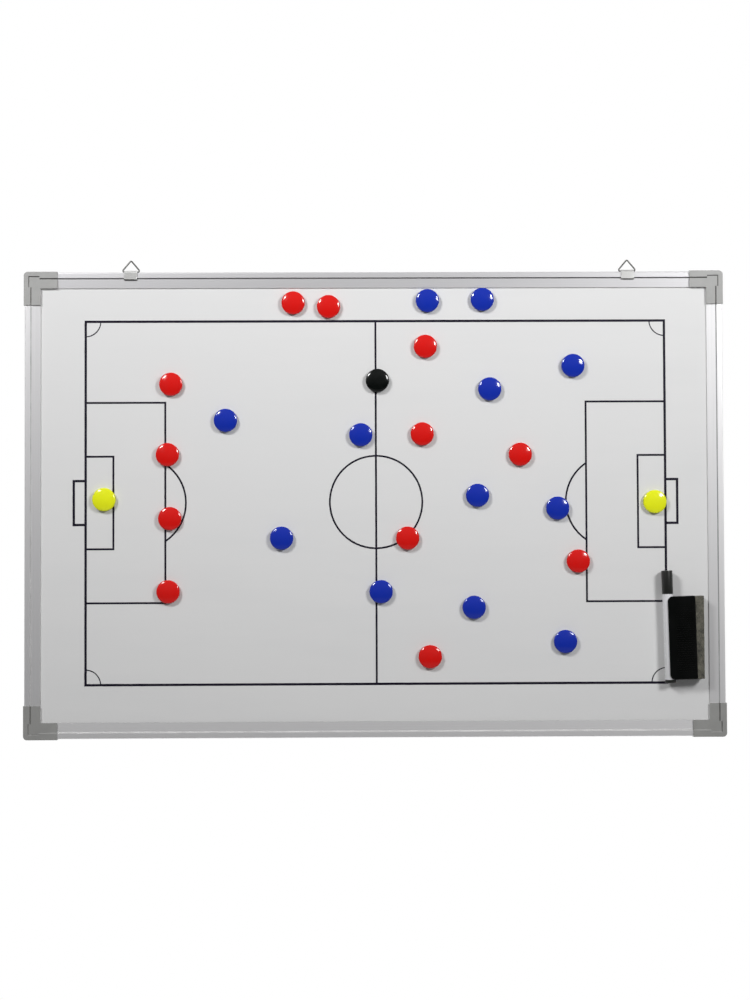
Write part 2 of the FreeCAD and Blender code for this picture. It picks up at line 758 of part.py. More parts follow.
def make_hangers():
    places = (
        ("left", "clip_left_inset - board_width / 2"),
        ("right", "board_width / 2 - clip_right_inset"),
    )
    for side, x in places:
        make_clip(f"hanger_clip_{side}", x)
        make_ring(f"hanger_ring_{side}", x)


# Eraser and pen, drawn upright about the eraser's middle and leant together


def lean(item, label, x="eraser_x", y="-ink_face", z="eraser_z"):
    place(item, label, x, y, z, OUTWARDS, value("eraser_tilt"))
    bind(item, "Placement.Rotation.Angle", "eraser_tilt")


def make_eraser_body():
    """Hollow moulding, open to the felt, with a pen channel and grip ribs across its front."""
    body = new_body("eraser_body")
    block = new_sketch(body, "XZ_Plane", "eraser_block")
    outline(block, [
        ("eraser_left", "-eraser_half", "eraser_corner_radius"),
        ("eraser_seam", "-eraser_half"),
        ("eraser_seam", "eraser_half"),
        ("eraser_left", "eraser_half", "eraser_corner_radius"),
    ])
    pad(body, block, "eraser_depth")
    round_edges(
        body, "eraser_front_edge", "eraser_edge_radius",
        lambda p: near(p.y, "-eraser_depth") and p.x < value("eraser_seam + eraser_wall"),
    )
    cavity = new_sketch(body, "YZ_Plane", "eraser_cavity", "eraser_seam")
    end = "eraser_half - eraser_wall"
    rectangle(cavity, "eraser_wall - eraser_depth", "-eraser_wall", f"-({end})", end)
    pocket(body, cavity, "eraser_seam - cavity_left")
    channel = new_sketch(body, "XY_Plane", "eraser_channel", "eraser_half + overrun")
    circle(channel, "channel_axis", "-eraser_depth / 2", "channel_radius")
    pocket(body, channel, "eraser_length + 2 * overrun")
    rib = new_sketch(body, "XZ_Plane", "eraser_rib", "eraser_depth")
    rectangle(
        rib, "eraser_left + rib_left_margin", "eraser_seam - rib_right_margin",
        "-(rib_span + rib_width) / 2", "-(rib_span - rib_width) / 2",
    )
    groove = pocket(body, rib, "rib_depth")
    document.recompute()
    ribs = body.newObject("PartDesign::LinearPattern", "eraser_ribs")
    ribs.Originals = [groove]
    ribs.Direction = (rib, ["V_Axis"])
    bind(ribs, "Length", "rib_span")
    bind(ribs, "Occurrences", "rib_count")
    body.Tip = ribs
    lean(body, "eraser_body")


def make_eraser_felt():
    body = new_body("eraser_felt")
    strip = new_sketch(body, "XZ_Plane", "felt_strip")
    rectangle(strip, "eraser_seam", "eraser_seam + felt_thickness", "-eraser_half", "eraser_half")
    pad(body, strip, "eraser_depth")
    lean(body, "eraser_felt")


def make_eraser_magnets():
    """Two discs on the inner face of the eraser's back wall."""
    body = new_body("eraser_magnets")
    body.AllowCompound = True
    discs = new_sketch(body, "XZ_Plane", "eraser_discs", "eraser_wall")
    middle = "(cavity_left + eraser_seam) / 2"
    for up in (-1, 1):
        circle(discs, middle, f"{up} * eraser_disc_spacing / 2", "eraser_disc_radius")
    pad(body, discs, "eraser_disc_thickness")
    lean(body, "eraser_magnets")


def make_turned(name, profile):
    """Round piece of the pen, turned about its axis from the foot of the pen."""
    body = new_body(name)
    section = new_sketch(body, "XZ_Plane", f"{name}_section")
    outline(section, profile)
    revolve(body, section)
    lean(body, name, "pen_x", "-pen_depth", "pen_z")


def make_pen():
    make_turned("pen_end_plug", [
        ("0", "0"),
        ("pen_radius", "0", "pen_cap_edge"),
        ("pen_radius", "pen_plug_length"),
        ("pen_spigot", "pen_plug_length"),
        ("pen_spigot", "plug_top"),
        ("0", "plug_top"),
    ])
    make_turned("pen_barrel", [
        ("pen_bore", "pen_plug_length"),
        ("pen_radius", "pen_plug_length"),
        ("pen_radius", "barrel_top"),
        ("pen_bore", "barrel_top"),
    ])
    make_turned("pen_ink_reservoir", [
        ("0", "plug_top"),
        ("pen_bore - reservoir_gap", "plug_top"),
        ("pen_bore - reservoir_gap", "holder_foot"),
        ("0", "holder_foot"),
    ])
    make_turned("pen_nib_holder", [
        ("nib_bore", "holder_foot"),
        ("pen_spigot", "holder_foot"),
        ("pen_spigot", "barrel_top"),
        ("cap_bore - pen_slide_gap", "barrel_top"),
        ("cap_bore - pen_slide_gap", "barrel_top + pen_collar_length"),
        ("nib_bore + nib_wall", "holder_top"),
        ("nib_bore", "holder_top"),
    ])
    make_turned("pen_nib", [
        ("0", "holder_foot"),
        ("nib_radius", "holder_foot"),
        ("nib_radius", "holder_top + nib_reach - nib_radius", "nib_radius", LEFT),
        ("0", "holder_top + nib_reach"),
    ])
    make_turned("pen_cap", [
        ("cap_bore", "barrel_top + fit_gap"),
        ("pen_cap_radius", "barrel_top + fit_gap"),
        ("pen_cap_radius", "pen_length", "pen_cap_edge"),
        ("0", "pen_length"),
        ("0", "pen_length - pen_cap_wall"),
        ("cap_bore", "pen_length - pen_cap_wall"),
    ])


# Whole board


def check_document():
    """Stop if any object failed or any sub-part is not a sound solid."""
    document.recompute()
    for item in document.Objects:
        if {"Invalid", "Error"} & set(item.State):
            raise RuntimeError(f"{item.Name} failed: {item.State}")
    for item in subparts:
        if item.Shape.isNull() or not item.Shape.isValid() or not item.Shape.Solids:
            raise RuntimeError(f"{item.Label} is not a sound solid")


def write_parts():
    os.makedirs("parts", exist_ok=True)
    for item in subparts:
        item.Shape.exportStep(f"parts/{item.Label}.step")


fill_sheet()
make_frame()
make_panel()
make_hangers()
make_eraser_body()
make_eraser_felt()
make_eraser_magnets()
make_pen()
make_magnets()
check_document()
write_parts()
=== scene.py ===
"""Tactics board: the finish of a wall-hung magnetic football board with its magnets, eraser and pen.

The file is laid out as an add-on and run as a script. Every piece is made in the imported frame, in metres:
+X to the right, +Z up, the face looks along -Y and the wall lies at Y 0.
"""

import json
import math

import bmesh
import bpy
from bpy.props import FloatProperty, FloatVectorProperty, IntProperty, PointerProperty
from mathutils import Matrix, Vector, noise


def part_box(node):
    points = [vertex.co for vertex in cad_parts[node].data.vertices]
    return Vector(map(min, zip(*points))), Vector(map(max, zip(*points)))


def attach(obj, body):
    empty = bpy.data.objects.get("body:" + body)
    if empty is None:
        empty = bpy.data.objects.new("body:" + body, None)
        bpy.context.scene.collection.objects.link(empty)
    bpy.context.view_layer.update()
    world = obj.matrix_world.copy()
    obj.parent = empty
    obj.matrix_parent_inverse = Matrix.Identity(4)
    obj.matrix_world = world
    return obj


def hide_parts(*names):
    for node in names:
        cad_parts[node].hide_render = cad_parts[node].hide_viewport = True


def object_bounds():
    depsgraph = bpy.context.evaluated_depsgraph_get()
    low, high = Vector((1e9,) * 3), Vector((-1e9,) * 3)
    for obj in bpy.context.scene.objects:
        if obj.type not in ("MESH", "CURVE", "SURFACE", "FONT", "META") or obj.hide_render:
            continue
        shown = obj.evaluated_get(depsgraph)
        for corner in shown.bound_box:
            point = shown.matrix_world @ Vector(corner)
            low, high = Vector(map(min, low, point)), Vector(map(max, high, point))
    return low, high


bl_info = {
    "name": "Tactics Board",
    "version": (1, 0, 0),
    "blender": (4, 5, 0),
    "location": "View3D > Sidebar > Tactics Board",
    "description": "Finishes a magnetic tactics board: frame, magnets, eraser, pen and studio",
    "category": "Object",
}

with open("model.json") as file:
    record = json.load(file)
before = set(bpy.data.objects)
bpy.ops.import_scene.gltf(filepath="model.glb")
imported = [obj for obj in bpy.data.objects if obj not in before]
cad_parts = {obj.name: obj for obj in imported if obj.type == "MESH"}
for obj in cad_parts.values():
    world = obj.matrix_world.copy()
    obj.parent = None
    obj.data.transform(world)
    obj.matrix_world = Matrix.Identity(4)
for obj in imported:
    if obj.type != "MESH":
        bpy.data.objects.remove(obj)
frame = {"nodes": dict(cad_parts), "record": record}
cad_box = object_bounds()

MM = 0.001
BODY_OF = {node: body for body, nodes in frame["record"]["behaviour"]["bodies"].items() for node in nodes}

# Vertices closer than this are one, places closer than this are on one plane,
# faces flatter than this are one, edges sharper than this are softened
WELD = 0.002 * MM
NEAR = 10 * WELD
FLAT = math.radians(0.5)
SHARP = math.radians(28)

# A quarter turn, how well parallel directions agree, and the corners of a straight strip
QUARTER = math.pi / 2
PARALLEL = 0.99
STRIP_CORNERS = 4

# Steps of softened edges, of turned edges, of the floor's rim and of the arcs of a magnet's dome
SOFT_STEPS = 2
EDGE_STEPS = 4
FLOOR_STEPS = 96
CROWN_STEPS, SHOULDER_STEPS, RIM_STEPS, HEEL_STEPS = 12, 5, 6, 3

# Names of the frame's pieces, a piece's materials by number, kinds of socket,
# and a Mix node's colour sockets by number, because their names repeat
ENDS = "top", "bottom"
SIDES = "left", "right"
FIRST, SECOND, THIRD = range(3)
NUMBER, VECTOR = "NodeSocketFloat", "NodeSocketVector"
MIX_FIRST, MIX_SECOND, MIX_RESULT = 6, 7, 2

# Finishes: roughness where they are smoothest and where they are roughest
LACQUER_FINISH = 0.17, 0.27
INK_FINISH = 0.30, 0.44
ZINC_FINISH = 0.34, 0.52
RAIL_FINISH = 0.42, 0.50
CAP_FINISH = 0.34, 0.42
PAINTED_LIGHT_FINISH = 0.7, 0.9
STRAP_FINISH = 0.30, 0.44
WIRE_FINISH = 0.40, 0.54
MAGNET_FINISH = 0.08, 0.17
FERRITE_FINISH = 0.45, 0.65
SATIN_FINISH = 0.28, 0.38
BARREL_FINISH = 0.20, 0.32
HOLDER_FINISH = 0.35, 0.45

# Refractive index of gloss, of the ink and of the eraser's dull moulding; bare metal of the anodised rails
GLOSS_IOR = 1.5
INK_IOR = 1.36
ERASER_IOR = 1.24
RAIL_METALLIC = 0.7

# Streaks to a metre along X, Y and Z, and the slant of what was wiped off the face
LEVEL_STREAKS = 4, 1500, 1500
UPRIGHT_STREAKS = 1500, 1500, 4
STRAP_STREAKS = 900, 60, 60
WIRE_STREAKS = 500, 1400, 500
WIPED_STREAKS = 3, 3, 22
WIPED_SLANT = math.radians(28)

# Grain and drift of colour to a metre, smudges and scratches to a metre, fibres to a metre
INK_GRAIN = 2600.0, 160.0
CORE_GRAIN = 900.0, 260.0
MOULDED_GRAIN = 2400.0, 45.0
FERRITE_GRAIN = 1800.0, 700.0
LACQUER_MARKS = 9.0, 900.0
ZINC_MARKS = 7.0, 700.0
GLOSS_MARKS = 130.0, 2600.0
FELT_FIBRES = 900.0
PEN_FIBRES = 1600.0

# Scratches: each set's direction in degrees and its stretch, and the turns that all sets share
SCRATCHES = (24, 0.035), (101, 0.05), (152, 0.04)
SCRATCH_PITCH = math.radians(17)
SCRATCH_YAW = math.radians(9)

# Dust on gloss: what it leaves of the colour, what it adds to it, and how much of it a smudge holds
DUST_KEEPS, DUST_ADDS, DUST_SHARE = 0.94, 0.004, 0.7

# Dark parts beside light ones, and the nib's rounding beside its radius
FERRITE_SHADE = 0.6
HOLDER_SHADE = 0.85
NIB_ROUND_SHARE = 0.9

# Fine streaks beside broad ones, and how far the zinc's crystals are shaken out of line
FINE_SHARE = 0.6
SHAKE_SHARE = 0.03

# Fibres: how the strands are drawn out, their share beside the clumps, and how close the clumps lie to theirs
STRAND_STRETCH = 1, 1, 0.45
STRAND_SHARE = 0.45
CLUMP_SHARE = 0.16

# Felt: width of its tufts, and the roughness, spacing and octaves of its nap
TUFT = 2.6 * MM
NAP = 0.9, 2.1, 3


# Settings that a user would change


def size(name, millimetres, description):
    """Length, written in millimetres."""
    return FloatProperty(
        name=name, description=description, default=millimetres * MM, min=0, unit="LENGTH", precision=5
    )


def place(name, metres, description):
    """Place along one axis, in metres."""
    return FloatProperty(name=name, description=description, default=metres, unit="LENGTH", precision=4)


def turn(name, degrees, description):
    """Angle, written in degrees."""
    return FloatProperty(name=name, description=description, default=math.radians(degrees), subtype="ANGLE")


def tint(name, rgb, description):
    """Colour."""
    return FloatVectorProperty(
        name=name, description=description, default=rgb, min=0, max=1, size=3, subtype="COLOR"
    )


def level(name, share, description):
    """Share between 0 and 1."""
    return FloatProperty(name=name, description=description, default=share, min=0, max=1, subtype="FACTOR")


def spot(name, metres, description):
    """Point, in metres."""
    return FloatVectorProperty(
        name=name, description=description, default=metres, size=3, subtype="TRANSLATION", unit="LENGTH"
    )


def power(name, watts, description):
    """Power of a lamp, in watts."""
    return FloatProperty(name=name, description=description, default=watts, unit="POWER")


class PanelSettings(bpy.types.PropertyGroup):
    """Colours of the panel's layers and of the print."""

    lacquer: tint("Lacquer", (0.745, 0.745, 0.745), "Dry-wipe lacquer of the face")
    ghost: tint("Ghost", (0.70, 0.705, 0.71), "Faint traces of what was wiped off the face")
    ink: tint("Ink", (0.004, 0.0025, 0.010), "Printed lines of the pitch")
    worn_ink: tint("Worn ink", (0.010, 0.007, 0.020), "Printed lines where they are thinner")
    zinc: tint("Zinc", (0.485, 0.495, 0.51), "Light crystals of the galvanised back")
    dull_zinc: tint("Dull zinc", (0.425, 0.435, 0.45), "Dark crystals of the galvanised back")
    fibreboard: tint("Fibreboard", (0.42, 0.27, 0.14), "Core of the panel")
    dark_fibre: tint("Dark fibre", (0.26, 0.16, 0.08), "Dark fibres of the core")


class FrameSettings(bpy.types.PropertyGroup):
    """Colours and edges of the rails and corner caps."""

    # The four rails are one metal; their tones differ by side as painted light and shade, lightest on the
    # bottom rail and darkest on the top rail.
    top_metal: tint("Top metal", (0.695, 0.69, 0.705), "Light streaks of the top rail")
    bottom_metal: tint("Bottom metal", (0.925, 0.92, 0.93), "Light streaks of the bottom rail")
    left_metal: tint("Left metal", (0.78, 0.775, 0.785), "Light streaks of the left rail")
    right_metal: tint("Right metal", (0.865, 0.86, 0.87), "Light streaks of the right rail")
    dull: level("Dull", 0.88, "How bright the rails' dark streaks are beside their light ones")
    # Groove floors carry painted shade and light by side: dark on the top rail, light on the bottom rail; the
    # fills lift those floors.
    top_dust: tint("Top dust", (0.15, 0.145, 0.15), "Dust in the groove of the top rail")
    bottom_dust: tint("Bottom dust", (0.86, 0.86, 0.85), "Dust in the groove of the bottom rail")
    left_dust: tint("Left dust", (0.52, 0.52, 0.52), "Dust in the groove of the left rail")
    right_dust: tint("Right dust", (0.38, 0.38, 0.385), "Dust in the groove of the right rail")
    top_fill: size("Top fill", 0, "Thickness of the dust in the groove of the top rail")
    bottom_fill: size("Bottom fill", 1.5, "Thickness of the dust in the groove of the bottom rail")
    left_fill: size("Left fill", 1.3, "Thickness of the dust in the groove of the left rail")
    right_fill: size("Right fill", 0.9, "Thickness of the dust in the groove of the right rail")
    # The rails' inner edges along the face carry painted light and shade by side: light on the top rail's
    # downward edge, dark on the bottom rail's.
    top_lip: tint("Top lip", (0.88, 0.88, 0.87), "Dirt on the top rail's edge along the face")
    bottom_lip: tint("Bottom lip", (0.16, 0.16, 0.155), "Dirt on the bottom rail's edge along the face")
    left_lip: tint("Left lip", (0.80, 0.80, 0.79), "Dirt on the left rail's edge along the face")
    right_lip: tint("Right lip", (0.70, 0.70, 0.69), "Dirt on the right rail's edge along the face")
    shade: level("Shade", 0.72, "How bright the darkest dust and dirt are beside the lightest")
    groove_depth: size("Groove depth", 1.6, "Depth of the grooves in the rails' front")
    # The lower caps' grey is painted darker than the upper caps' as painted shade.
    top_cap: tint("Top cap", (0.395, 0.395, 0.388), "Upper corner caps")
    bottom_cap: tint("Bottom cap", (0.325, 0.325, 0.316), "Lower corner caps")
    cap_flow: level("Cap flow", 0.87, "How bright the flow marks in the caps are beside their grey")
    # The caps' lines carry painted shade and light: dark level lines above, light level lines below, darker
    # upright lines on the right than on the left.
    top_line: tint("Top line", (0.060, 0.058, 0.055), "Dirt in the level lines of the upper caps")
    bottom_line: tint("Bottom line", (0.45, 0.45, 0.44), "Dirt in the level lines of the lower caps")
    left_line: tint("Left line", (0.22, 0.216, 0.207), "Dirt in the upright lines of the left caps")
    right_line: tint("Right line", (0.145, 0.142, 0.136), "Dirt in the upright lines of the right caps")
    line_depth: size("Line depth", 0.8, "Depth of the lines in the caps' front")
    line_fill: size("Line fill", 0.6, "Thickness of the dirt in the level lines of the lower caps")
    rail_edge: size("Rail edge", 0.22, "Rounding of the rails' sharp edges")
    cap_edge: size("Cap edge", 0.3, "Rounding of the caps' sharp edges")


class HangerSettings(bpy.types.PropertyGroup):
    """Colours and edges of the hanger clips and rings."""

    strap: tint("Strap", (0.78, 0.78, 0.77), "Plated strap of the clips")
    dull_strap: tint("Dull strap", (0.64, 0.64, 0.63), "Dark streaks of the plated strap")
    # The strap's near-black foot is a painted shadow under the foot.
    foot: tint("Foot", (0.022, 0.021, 0.020), "Oxide on the strap's foot in front of the rail")
    foot_shade: level("Foot shade", 0.6, "How bright the darkest oxide is beside the lightest")
    foot_height: size("Foot height", 1.3, "Height of the oxide on the strap's foot")
    wire: tint("Wire", (0.20, 0.20, 0.195), "Plated wire of the rings")
    dull_wire: tint("Dull wire", (0.14, 0.14, 0.135), "Dark streaks of the wire")
    strap_edge: size("Strap edge", 0.12, "Rounding of the strap's cut edges")


class MagnetSettings(bpy.types.PropertyGroup):
    """Colours and section of the dome magnets."""

    red: tint("Red", (0.69, 0.008, 0.006), "Red moulding")
    blue: tint("Blue", (0.007, 0.028, 0.39), "Blue moulding")
    yellow: tint("Yellow", (0.83, 0.88, 0.013), "Yellow moulding")
    black: tint("Black", (0.0021, 0.0032, 0.0028), "Black moulding")
    ferrite: tint("Ferrite", (0.036, 0.036, 0.038), "Disc in the foot of a magnet")
    crown: size("Crown", 44, "Radius of the dome's middle")
    crown_reach: size("Crown reach", 12.2, "How far the dome's middle reaches from its axis")
    shoulder: size("Shoulder", 9.5, "Radius of the dome's shoulder")
    shoulder_end: turn("Shoulder end", 29, "Slope at which the shoulder turns into the rim")
    foot_edge: size("Foot edge", 0.35, "Rounding of the foot's outer edge")
    disc_radius: size("Disc radius", 11, "Radius of the ferrite disc")
    disc_recess: size("Disc recess", 0.2, "How far the disc lies inside the foot")
    steps: IntProperty(name="Steps", description="Steps of the turned dome", default=72, min=12)


class EraserSettings(bpy.types.PropertyGroup):
    """Colours, lean and felt of the eraser."""

    black: tint("Black", (0.0010, 0.0014, 0.0012), "Moulded eraser body")
    worn_black: tint("Worn black", (0.0020, 0.0024, 0.0022), "Eraser body where hands have polished it")
    felt: tint("Felt", (0.128, 0.122, 0.092), "Light fibres of the felt")
    dark_felt: tint("Dark felt", (0.019, 0.0185, 0.015), "Dark fibres of the felt")
    lean: turn("Lean", -1.5, "Lean of the eraser and the pen on the board")
    edge: size("Edge", 0.15, "Rounding of the moulding's sharp edges")
    felt_thickness: size("Felt thickness", 11.6, "Thickness of the felt strip")
    felt_depth: size("Felt depth", 18, "How far the felt strip stands out from the board")
    felt_length: size("Felt length", 106.2, "Length of the felt strip")
    felt_edge: size("Felt edge", 0.9, "Rounding of the felt's cut edges")
    felt_nap: size("Felt nap", 0.42, "Depth of the felt's uneven surface")
    felt_wear: size("Felt wear", 2.6, "Felt rubbed off at the lower end of its wiping face")
    felt_grid: size("Felt grid", 0.8, "Spacing of the felt's mesh")


class PenSettings(bpy.types.PropertyGroup):
    """Colours and sections of the marker pen."""

    white: tint("White", (0.74, 0.74, 0.76), "Barrel")
    dark: tint("Dark", (0.013, 0.0145, 0.0125), "Cap and end plug")
    dark_flow: tint("Dark flow", (0.009, 0.010, 0.0085), "Flow marks in the cap and the plug")
    grey: tint("Grey", (0.19, 0.19, 0.195), "Nib holder")
    fibre: tint("Fibre", (0.10, 0.10, 0.12), "Nib and ink reservoir, soaked with ink")
    dark_fibre: tint("Dark fibre", (0.03, 0.03, 0.04), "Dark fibres of the nib and the reservoir")
    length: size("Length", 143.5, "Whole pen, from plug to cap")
    cap_length: size("Cap length", 30, "Cap, outside")
    plug_length: size("Plug length", 4, "End plug, outside")
    wall: size("Wall", 1.2, "Wall of the barrel and of the cap")
    spigot_length: size("Spigot length", 8, "Plug and nib holder inside the barrel")
    collar_length: size("Collar length", 6, "Straight part of the nib holder")
    taper_length: size("Taper length", 8, "Tapered part of the nib holder")
    nib_radius: size("Nib radius", 1.6, "Nib")
    nib_reach: size("Nib reach", 5, "Nib in front of its holder")
    fit: size("Fit", 0.1, "Gap between pieces that slide into each other")
    edge: size("Edge", 0.25, "Rounding of the turned edges")
    dome_edge: size("Dome edge", 0.9, "Rounding of the cap's top and of the plug's foot")
    steps: IntProperty(name="Steps", description="Steps of the turned pieces", default=64, min=12)


class StageSettings(bpy.types.PropertyGroup):
    """Floor, lamps and camera."""

    floor: tint("Floor", (0.80, 0.80, 0.80), "Studio floor")
    floor_drop: place("Floor drop", 1.0, "Floor below the board's lower edge")
    floor_radius: place("Floor radius", 2.9, "Radius of the floor")
    floor_glow: level("Floor glow", 0.75, "White that the camera sees in the floor besides its light")
    floor_gloss: level("Floor gloss", 0.12, "Share of that white that gloss sees in front of the board")
    left_lamp: spot("Left lamp", (-1.217, -1.5, 1.235), "Place of the left lamp")
    right_lamp: spot("Right lamp", (1.35, -1.5, 0.81), "Place of the right lamp")
    lamp_aim: place("Lamp aim", 0.55, "Height at which the lamps point")
    lamp_spread: turn("Lamp spread", 125, "Width of the lamps' beams")
    lamp_width: place("Lamp width", 0.45, "Side of the square lamps")
    left_power: power("Left power", 15.4, "Left lamp")
    right_power: power("Right power", 13.2, "Right lamp")
    fill_power: power("Fill power", 14.0, "Lamp behind the board")
    fill_width: place("Fill width", 1.4, "Side of the square lamp behind the board")
    fill_out: place("Fill out", 2.0, "Lamp behind the board, from the wall")
    fill_up: place("Fill up", 1.3, "Lamp behind the board, above its middle")
    ambient: level("Ambient", 0.13, "Light from all round")
    room_low: level("Room low", 0.03, "Brightness of the room in front, low down, that gloss shows")
    room_high: level("Room high", 0.24, "Brightness of the room in front, high up, that gloss shows")
    camera_out: place("Camera out", 2.5, "Camera in front of the wall")
    camera_side: place("Camera side", -0.0323, "Camera to the right of the board's middle")
    camera_up: place("Camera up", -0.0746, "Camera above the board's middle")
    camera_yaw: turn("Camera yaw", 0.746, "Camera turned to the right")
    camera_pitch: turn("Camera pitch", 1.833, "Camera turned up")
    camera_roll: turn("Camera roll", -0.232, "Camera rolled about its view")
    lens: FloatProperty(name="Lens", description="Focal length, in millimetres", default=69.81, unit="CAMERA")


class BoardSettings(bpy.types.PropertyGroup):
    """All settings of the tactics board."""

    panel: PointerProperty(type=PanelSettings)
    frame: PointerProperty(type=FrameSettings)
    hangers: PointerProperty(type=HangerSettings)
    magnets: PointerProperty(type=MagnetSettings)
    eraser: PointerProperty(type=EraserSettings)
    pen: PointerProperty(type=PenSettings)
    stage: PointerProperty(type=StageSettings)


# Shader nodes


def node(tree, kind, inputs=None, **settings):
    """Add a node with these settings, and set or link its inputs by name or number."""
    made = tree.nodes.new(kind)
    for field, setting in settings.items():
        setattr(made, field, setting)
    for socket, value in (inputs or {}).items():
        if isinstance(value, bpy.types.NodeSocket):
            tree.links.new(value, made.inputs[socket])
        else:
            made.inputs[socket].default_value = value
    return made


def noise_value(tree, vector, scale, detail=2.0, roughness=0.5):
    """Noise between about 0.2 and 0.8."""
    made = node(tree, "ShaderNodeTexNoise", {
        "Vector": vector, "Scale": scale, "Detail": detail, "Roughness": roughness,
    })
    return made.outputs["Fac"]


def remap(tree, value, low=0.0, high=1.0, start=0.0, end=1.0):
    """Value between low and high, spread over start to end."""
    made = node(tree, "ShaderNodeMapRange", {
        "Value": value, "From Min": low, "From Max": high, "To Min": start, "To Max": end,
    })
    return made.outputs["Result"]


def math_value(tree, operation, first, second):
    """Sum, product or the like of two values."""
    return node(tree, "ShaderNodeMath", {0: first, 1: second}, operation=operation).outputs["Value"]


def greatest(tree, value, *others):
    """Largest of several values."""
    for other in others:
        value = math_value(tree, "MAXIMUM", value, other)
    return value


def weighed(tree, share, first, second):
    """Mean of two values, with the first one's share in it."""
    part = math_value(tree, "MULTIPLY", first, share)
    return math_value(tree, "ADD", part, math_value(tree, "MULTIPLY", second, 1 - share))


def mix_colour(tree, share, first, second):
    """Colour between two colours, with the second one's share in it."""
    made = node(tree, "ShaderNodeMix", {"Factor": share}, data_type="RGBA")
    for socket, colour in ((MIX_FIRST, first), (MIX_SECOND, second)):
        if isinstance(colour, bpy.types.NodeSocket):
            tree.links.new(colour, made.inputs[socket])
        else:
            made.inputs[socket].default_value = (*colour, 1)
    return made.outputs[MIX_RESULT]


def stretched(tree, vector, scale, rotation=(0, 0, 0)):
    """Coordinates turned and scaled apart in each direction, for streaks."""
    made = node(tree, "ShaderNodeMapping", {"Vector": vector, "Scale": scale, "Rotation": rotation})
    return made.outputs["Vector"]


def coordinates(tree):
    """Place on the piece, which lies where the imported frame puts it."""
    return node(tree, "ShaderNodeTexCoord").outputs["Object"]


def new_group(name, inputs, outputs):
    """Empty shader group with these sockets, and its two ends."""
    group = bpy.data.node_groups.new(name, "ShaderNodeTree")
    for in_out, sockets in (("INPUT", inputs), ("OUTPUT", outputs)):
        for socket, kind in sockets.items():
            group.interface.new_socket(socket, in_out=in_out, socket_type=kind)
    return group, group.nodes.new("NodeGroupInput"), group.nodes.new("NodeGroupOutput")


def shared_group(name, build):
    """Group of that name, built the first time it is asked for."""
    return bpy.data.node_groups.get(name) or build(name)


def use_group(tree, group, inputs):
    """Outputs of a shader group that is placed in a tree."""
    return node(tree, "ShaderNodeGroup", inputs, node_tree=group).outputs


def build_streaks(name):
    """Fine lines along drawn or brushed metal."""
    group, start, end = new_group(name, {"Vector": VECTOR}, {"Tone": NUMBER, "Height": NUMBER})
    vector = start.outputs["Vector"]
    broad = noise_value(group, vector, scale=0.12, detail=3.0)
    broad = remap(group, broad, low=0.32, high=0.68)
    fine = noise_value(group, vector, scale=1.0, detail=4.0, roughness=0.65)
    fine = remap(group, fine, low=0.30, high=0.70)
    group.links.new(weighed(group, FINE_SHARE, fine, broad), end.inputs["Tone"])
    group.links.new(fine, end.inputs["Height"])
    return group


def build_grain(name):
    """Spark-eroded grain of a moulding and the slow drift of its colour."""
    group, start, end = new_group(
        name, {"Vector": VECTOR, "Grain": NUMBER, "Drift": NUMBER}, {"Tone": NUMBER, "Height": NUMBER}
    )
    vector = start.outputs["Vector"]
    height = noise_value(group, vector, start.outputs["Grain"], detail=2.0, roughness=0.6)
    drift = noise_value(group, vector, start.outputs["Drift"], detail=4.0, roughness=0.6)
    group.links.new(remap(group, drift, low=0.3, high=0.7), end.inputs["Tone"])
    group.links.new(height, end.inputs["Height"])
    return group


def build_handling(name):
    """Smudges and hairline scratches that handling leaves on a glossy surface."""
    group, start, end = new_group(
        name,
        {"Vector": VECTOR, "Smudge": NUMBER, "Scratch": NUMBER},
        {"Smudge": NUMBER, "Scratch": NUMBER},
    )
    vector = start.outputs["Vector"]
    smudge = noise_value(group, vector, start.outputs["Smudge"], detail=5.0, roughness=0.6)
    close = node(group, "ShaderNodeVectorMath", {
        0: vector, "Scale": start.outputs["Scratch"],
    }, operation="SCALE").outputs["Vector"]
    lines = []
    for degrees, share in SCRATCHES:
        way = SCRATCH_PITCH, math.radians(degrees), SCRATCH_YAW
        line = noise_value(group, stretched(group, close, (share, 1, 1), way), scale=1.0, detail=1.0)
        lines.append(remap(group, line, low=0.70, high=0.76))
    group.links.new(remap(group, smudge, low=0.38, high=0.70), end.inputs["Smudge"])
    group.links.new(greatest(group, *lines), end.inputs["Scratch"])
    return group


def streaks(tree, vector):
    """Tone and height of drawn metal's streaks."""
    return use_group(tree, shared_group("drawn_streaks", build_streaks), {"Vector": vector})


def grain(tree, vector, fine, drift):
    """Tone and height of a grained surface."""
    group = shared_group("moulded_grain", build_grain)
    return use_group(tree, group, {"Vector": vector, "Grain": fine, "Drift": drift})


def handling(tree, vector, smudge, scratch):
    """Smudges and scratches of a surface that is handled."""
    group = shared_group("handling_marks", build_handling)
    return use_group(tree, group, {"Vector": vector, "Smudge": smudge, "Scratch": scratch})


# Materials


def new_material(name, constants):
    """Material whose shader holds these constants, with its tree and its shader."""
    material = bpy.data.materials.new(name)
    material.use_nodes = True
    tree = material.node_tree
    shader = tree.nodes["Principled BSDF"]
    for socket, value in constants.items():
        shader.inputs[socket].default_value = value
    return material, tree, shader


def feed(tree, shader, **sources):
    """Link values to the shader's sockets, named as plain words."""
    for socket, source in sources.items():
        tree.links.new(source, shader.inputs[socket.replace("_", " ").title()])


def bump(tree, shader, height, strength, depth):
    """Let a height stand out of the surface by up to the given depth."""
    raised = node(tree, "ShaderNodeBump", {"Height": height, "Strength": strength, "Distance": depth})
    tree.links.new(raised.outputs["Normal"], shader.inputs["Normal"])


def roughness_of(tree, finish, value, **limits):
    """Roughness of a finish, from its first end to its second as a value grows."""
    first, second = finish
    return remap(tree, value, start=first, end=second, **limits)


def shaded(colour, share):
    """Colour with a share of its brightness."""
    return [channel * share for channel in colour]


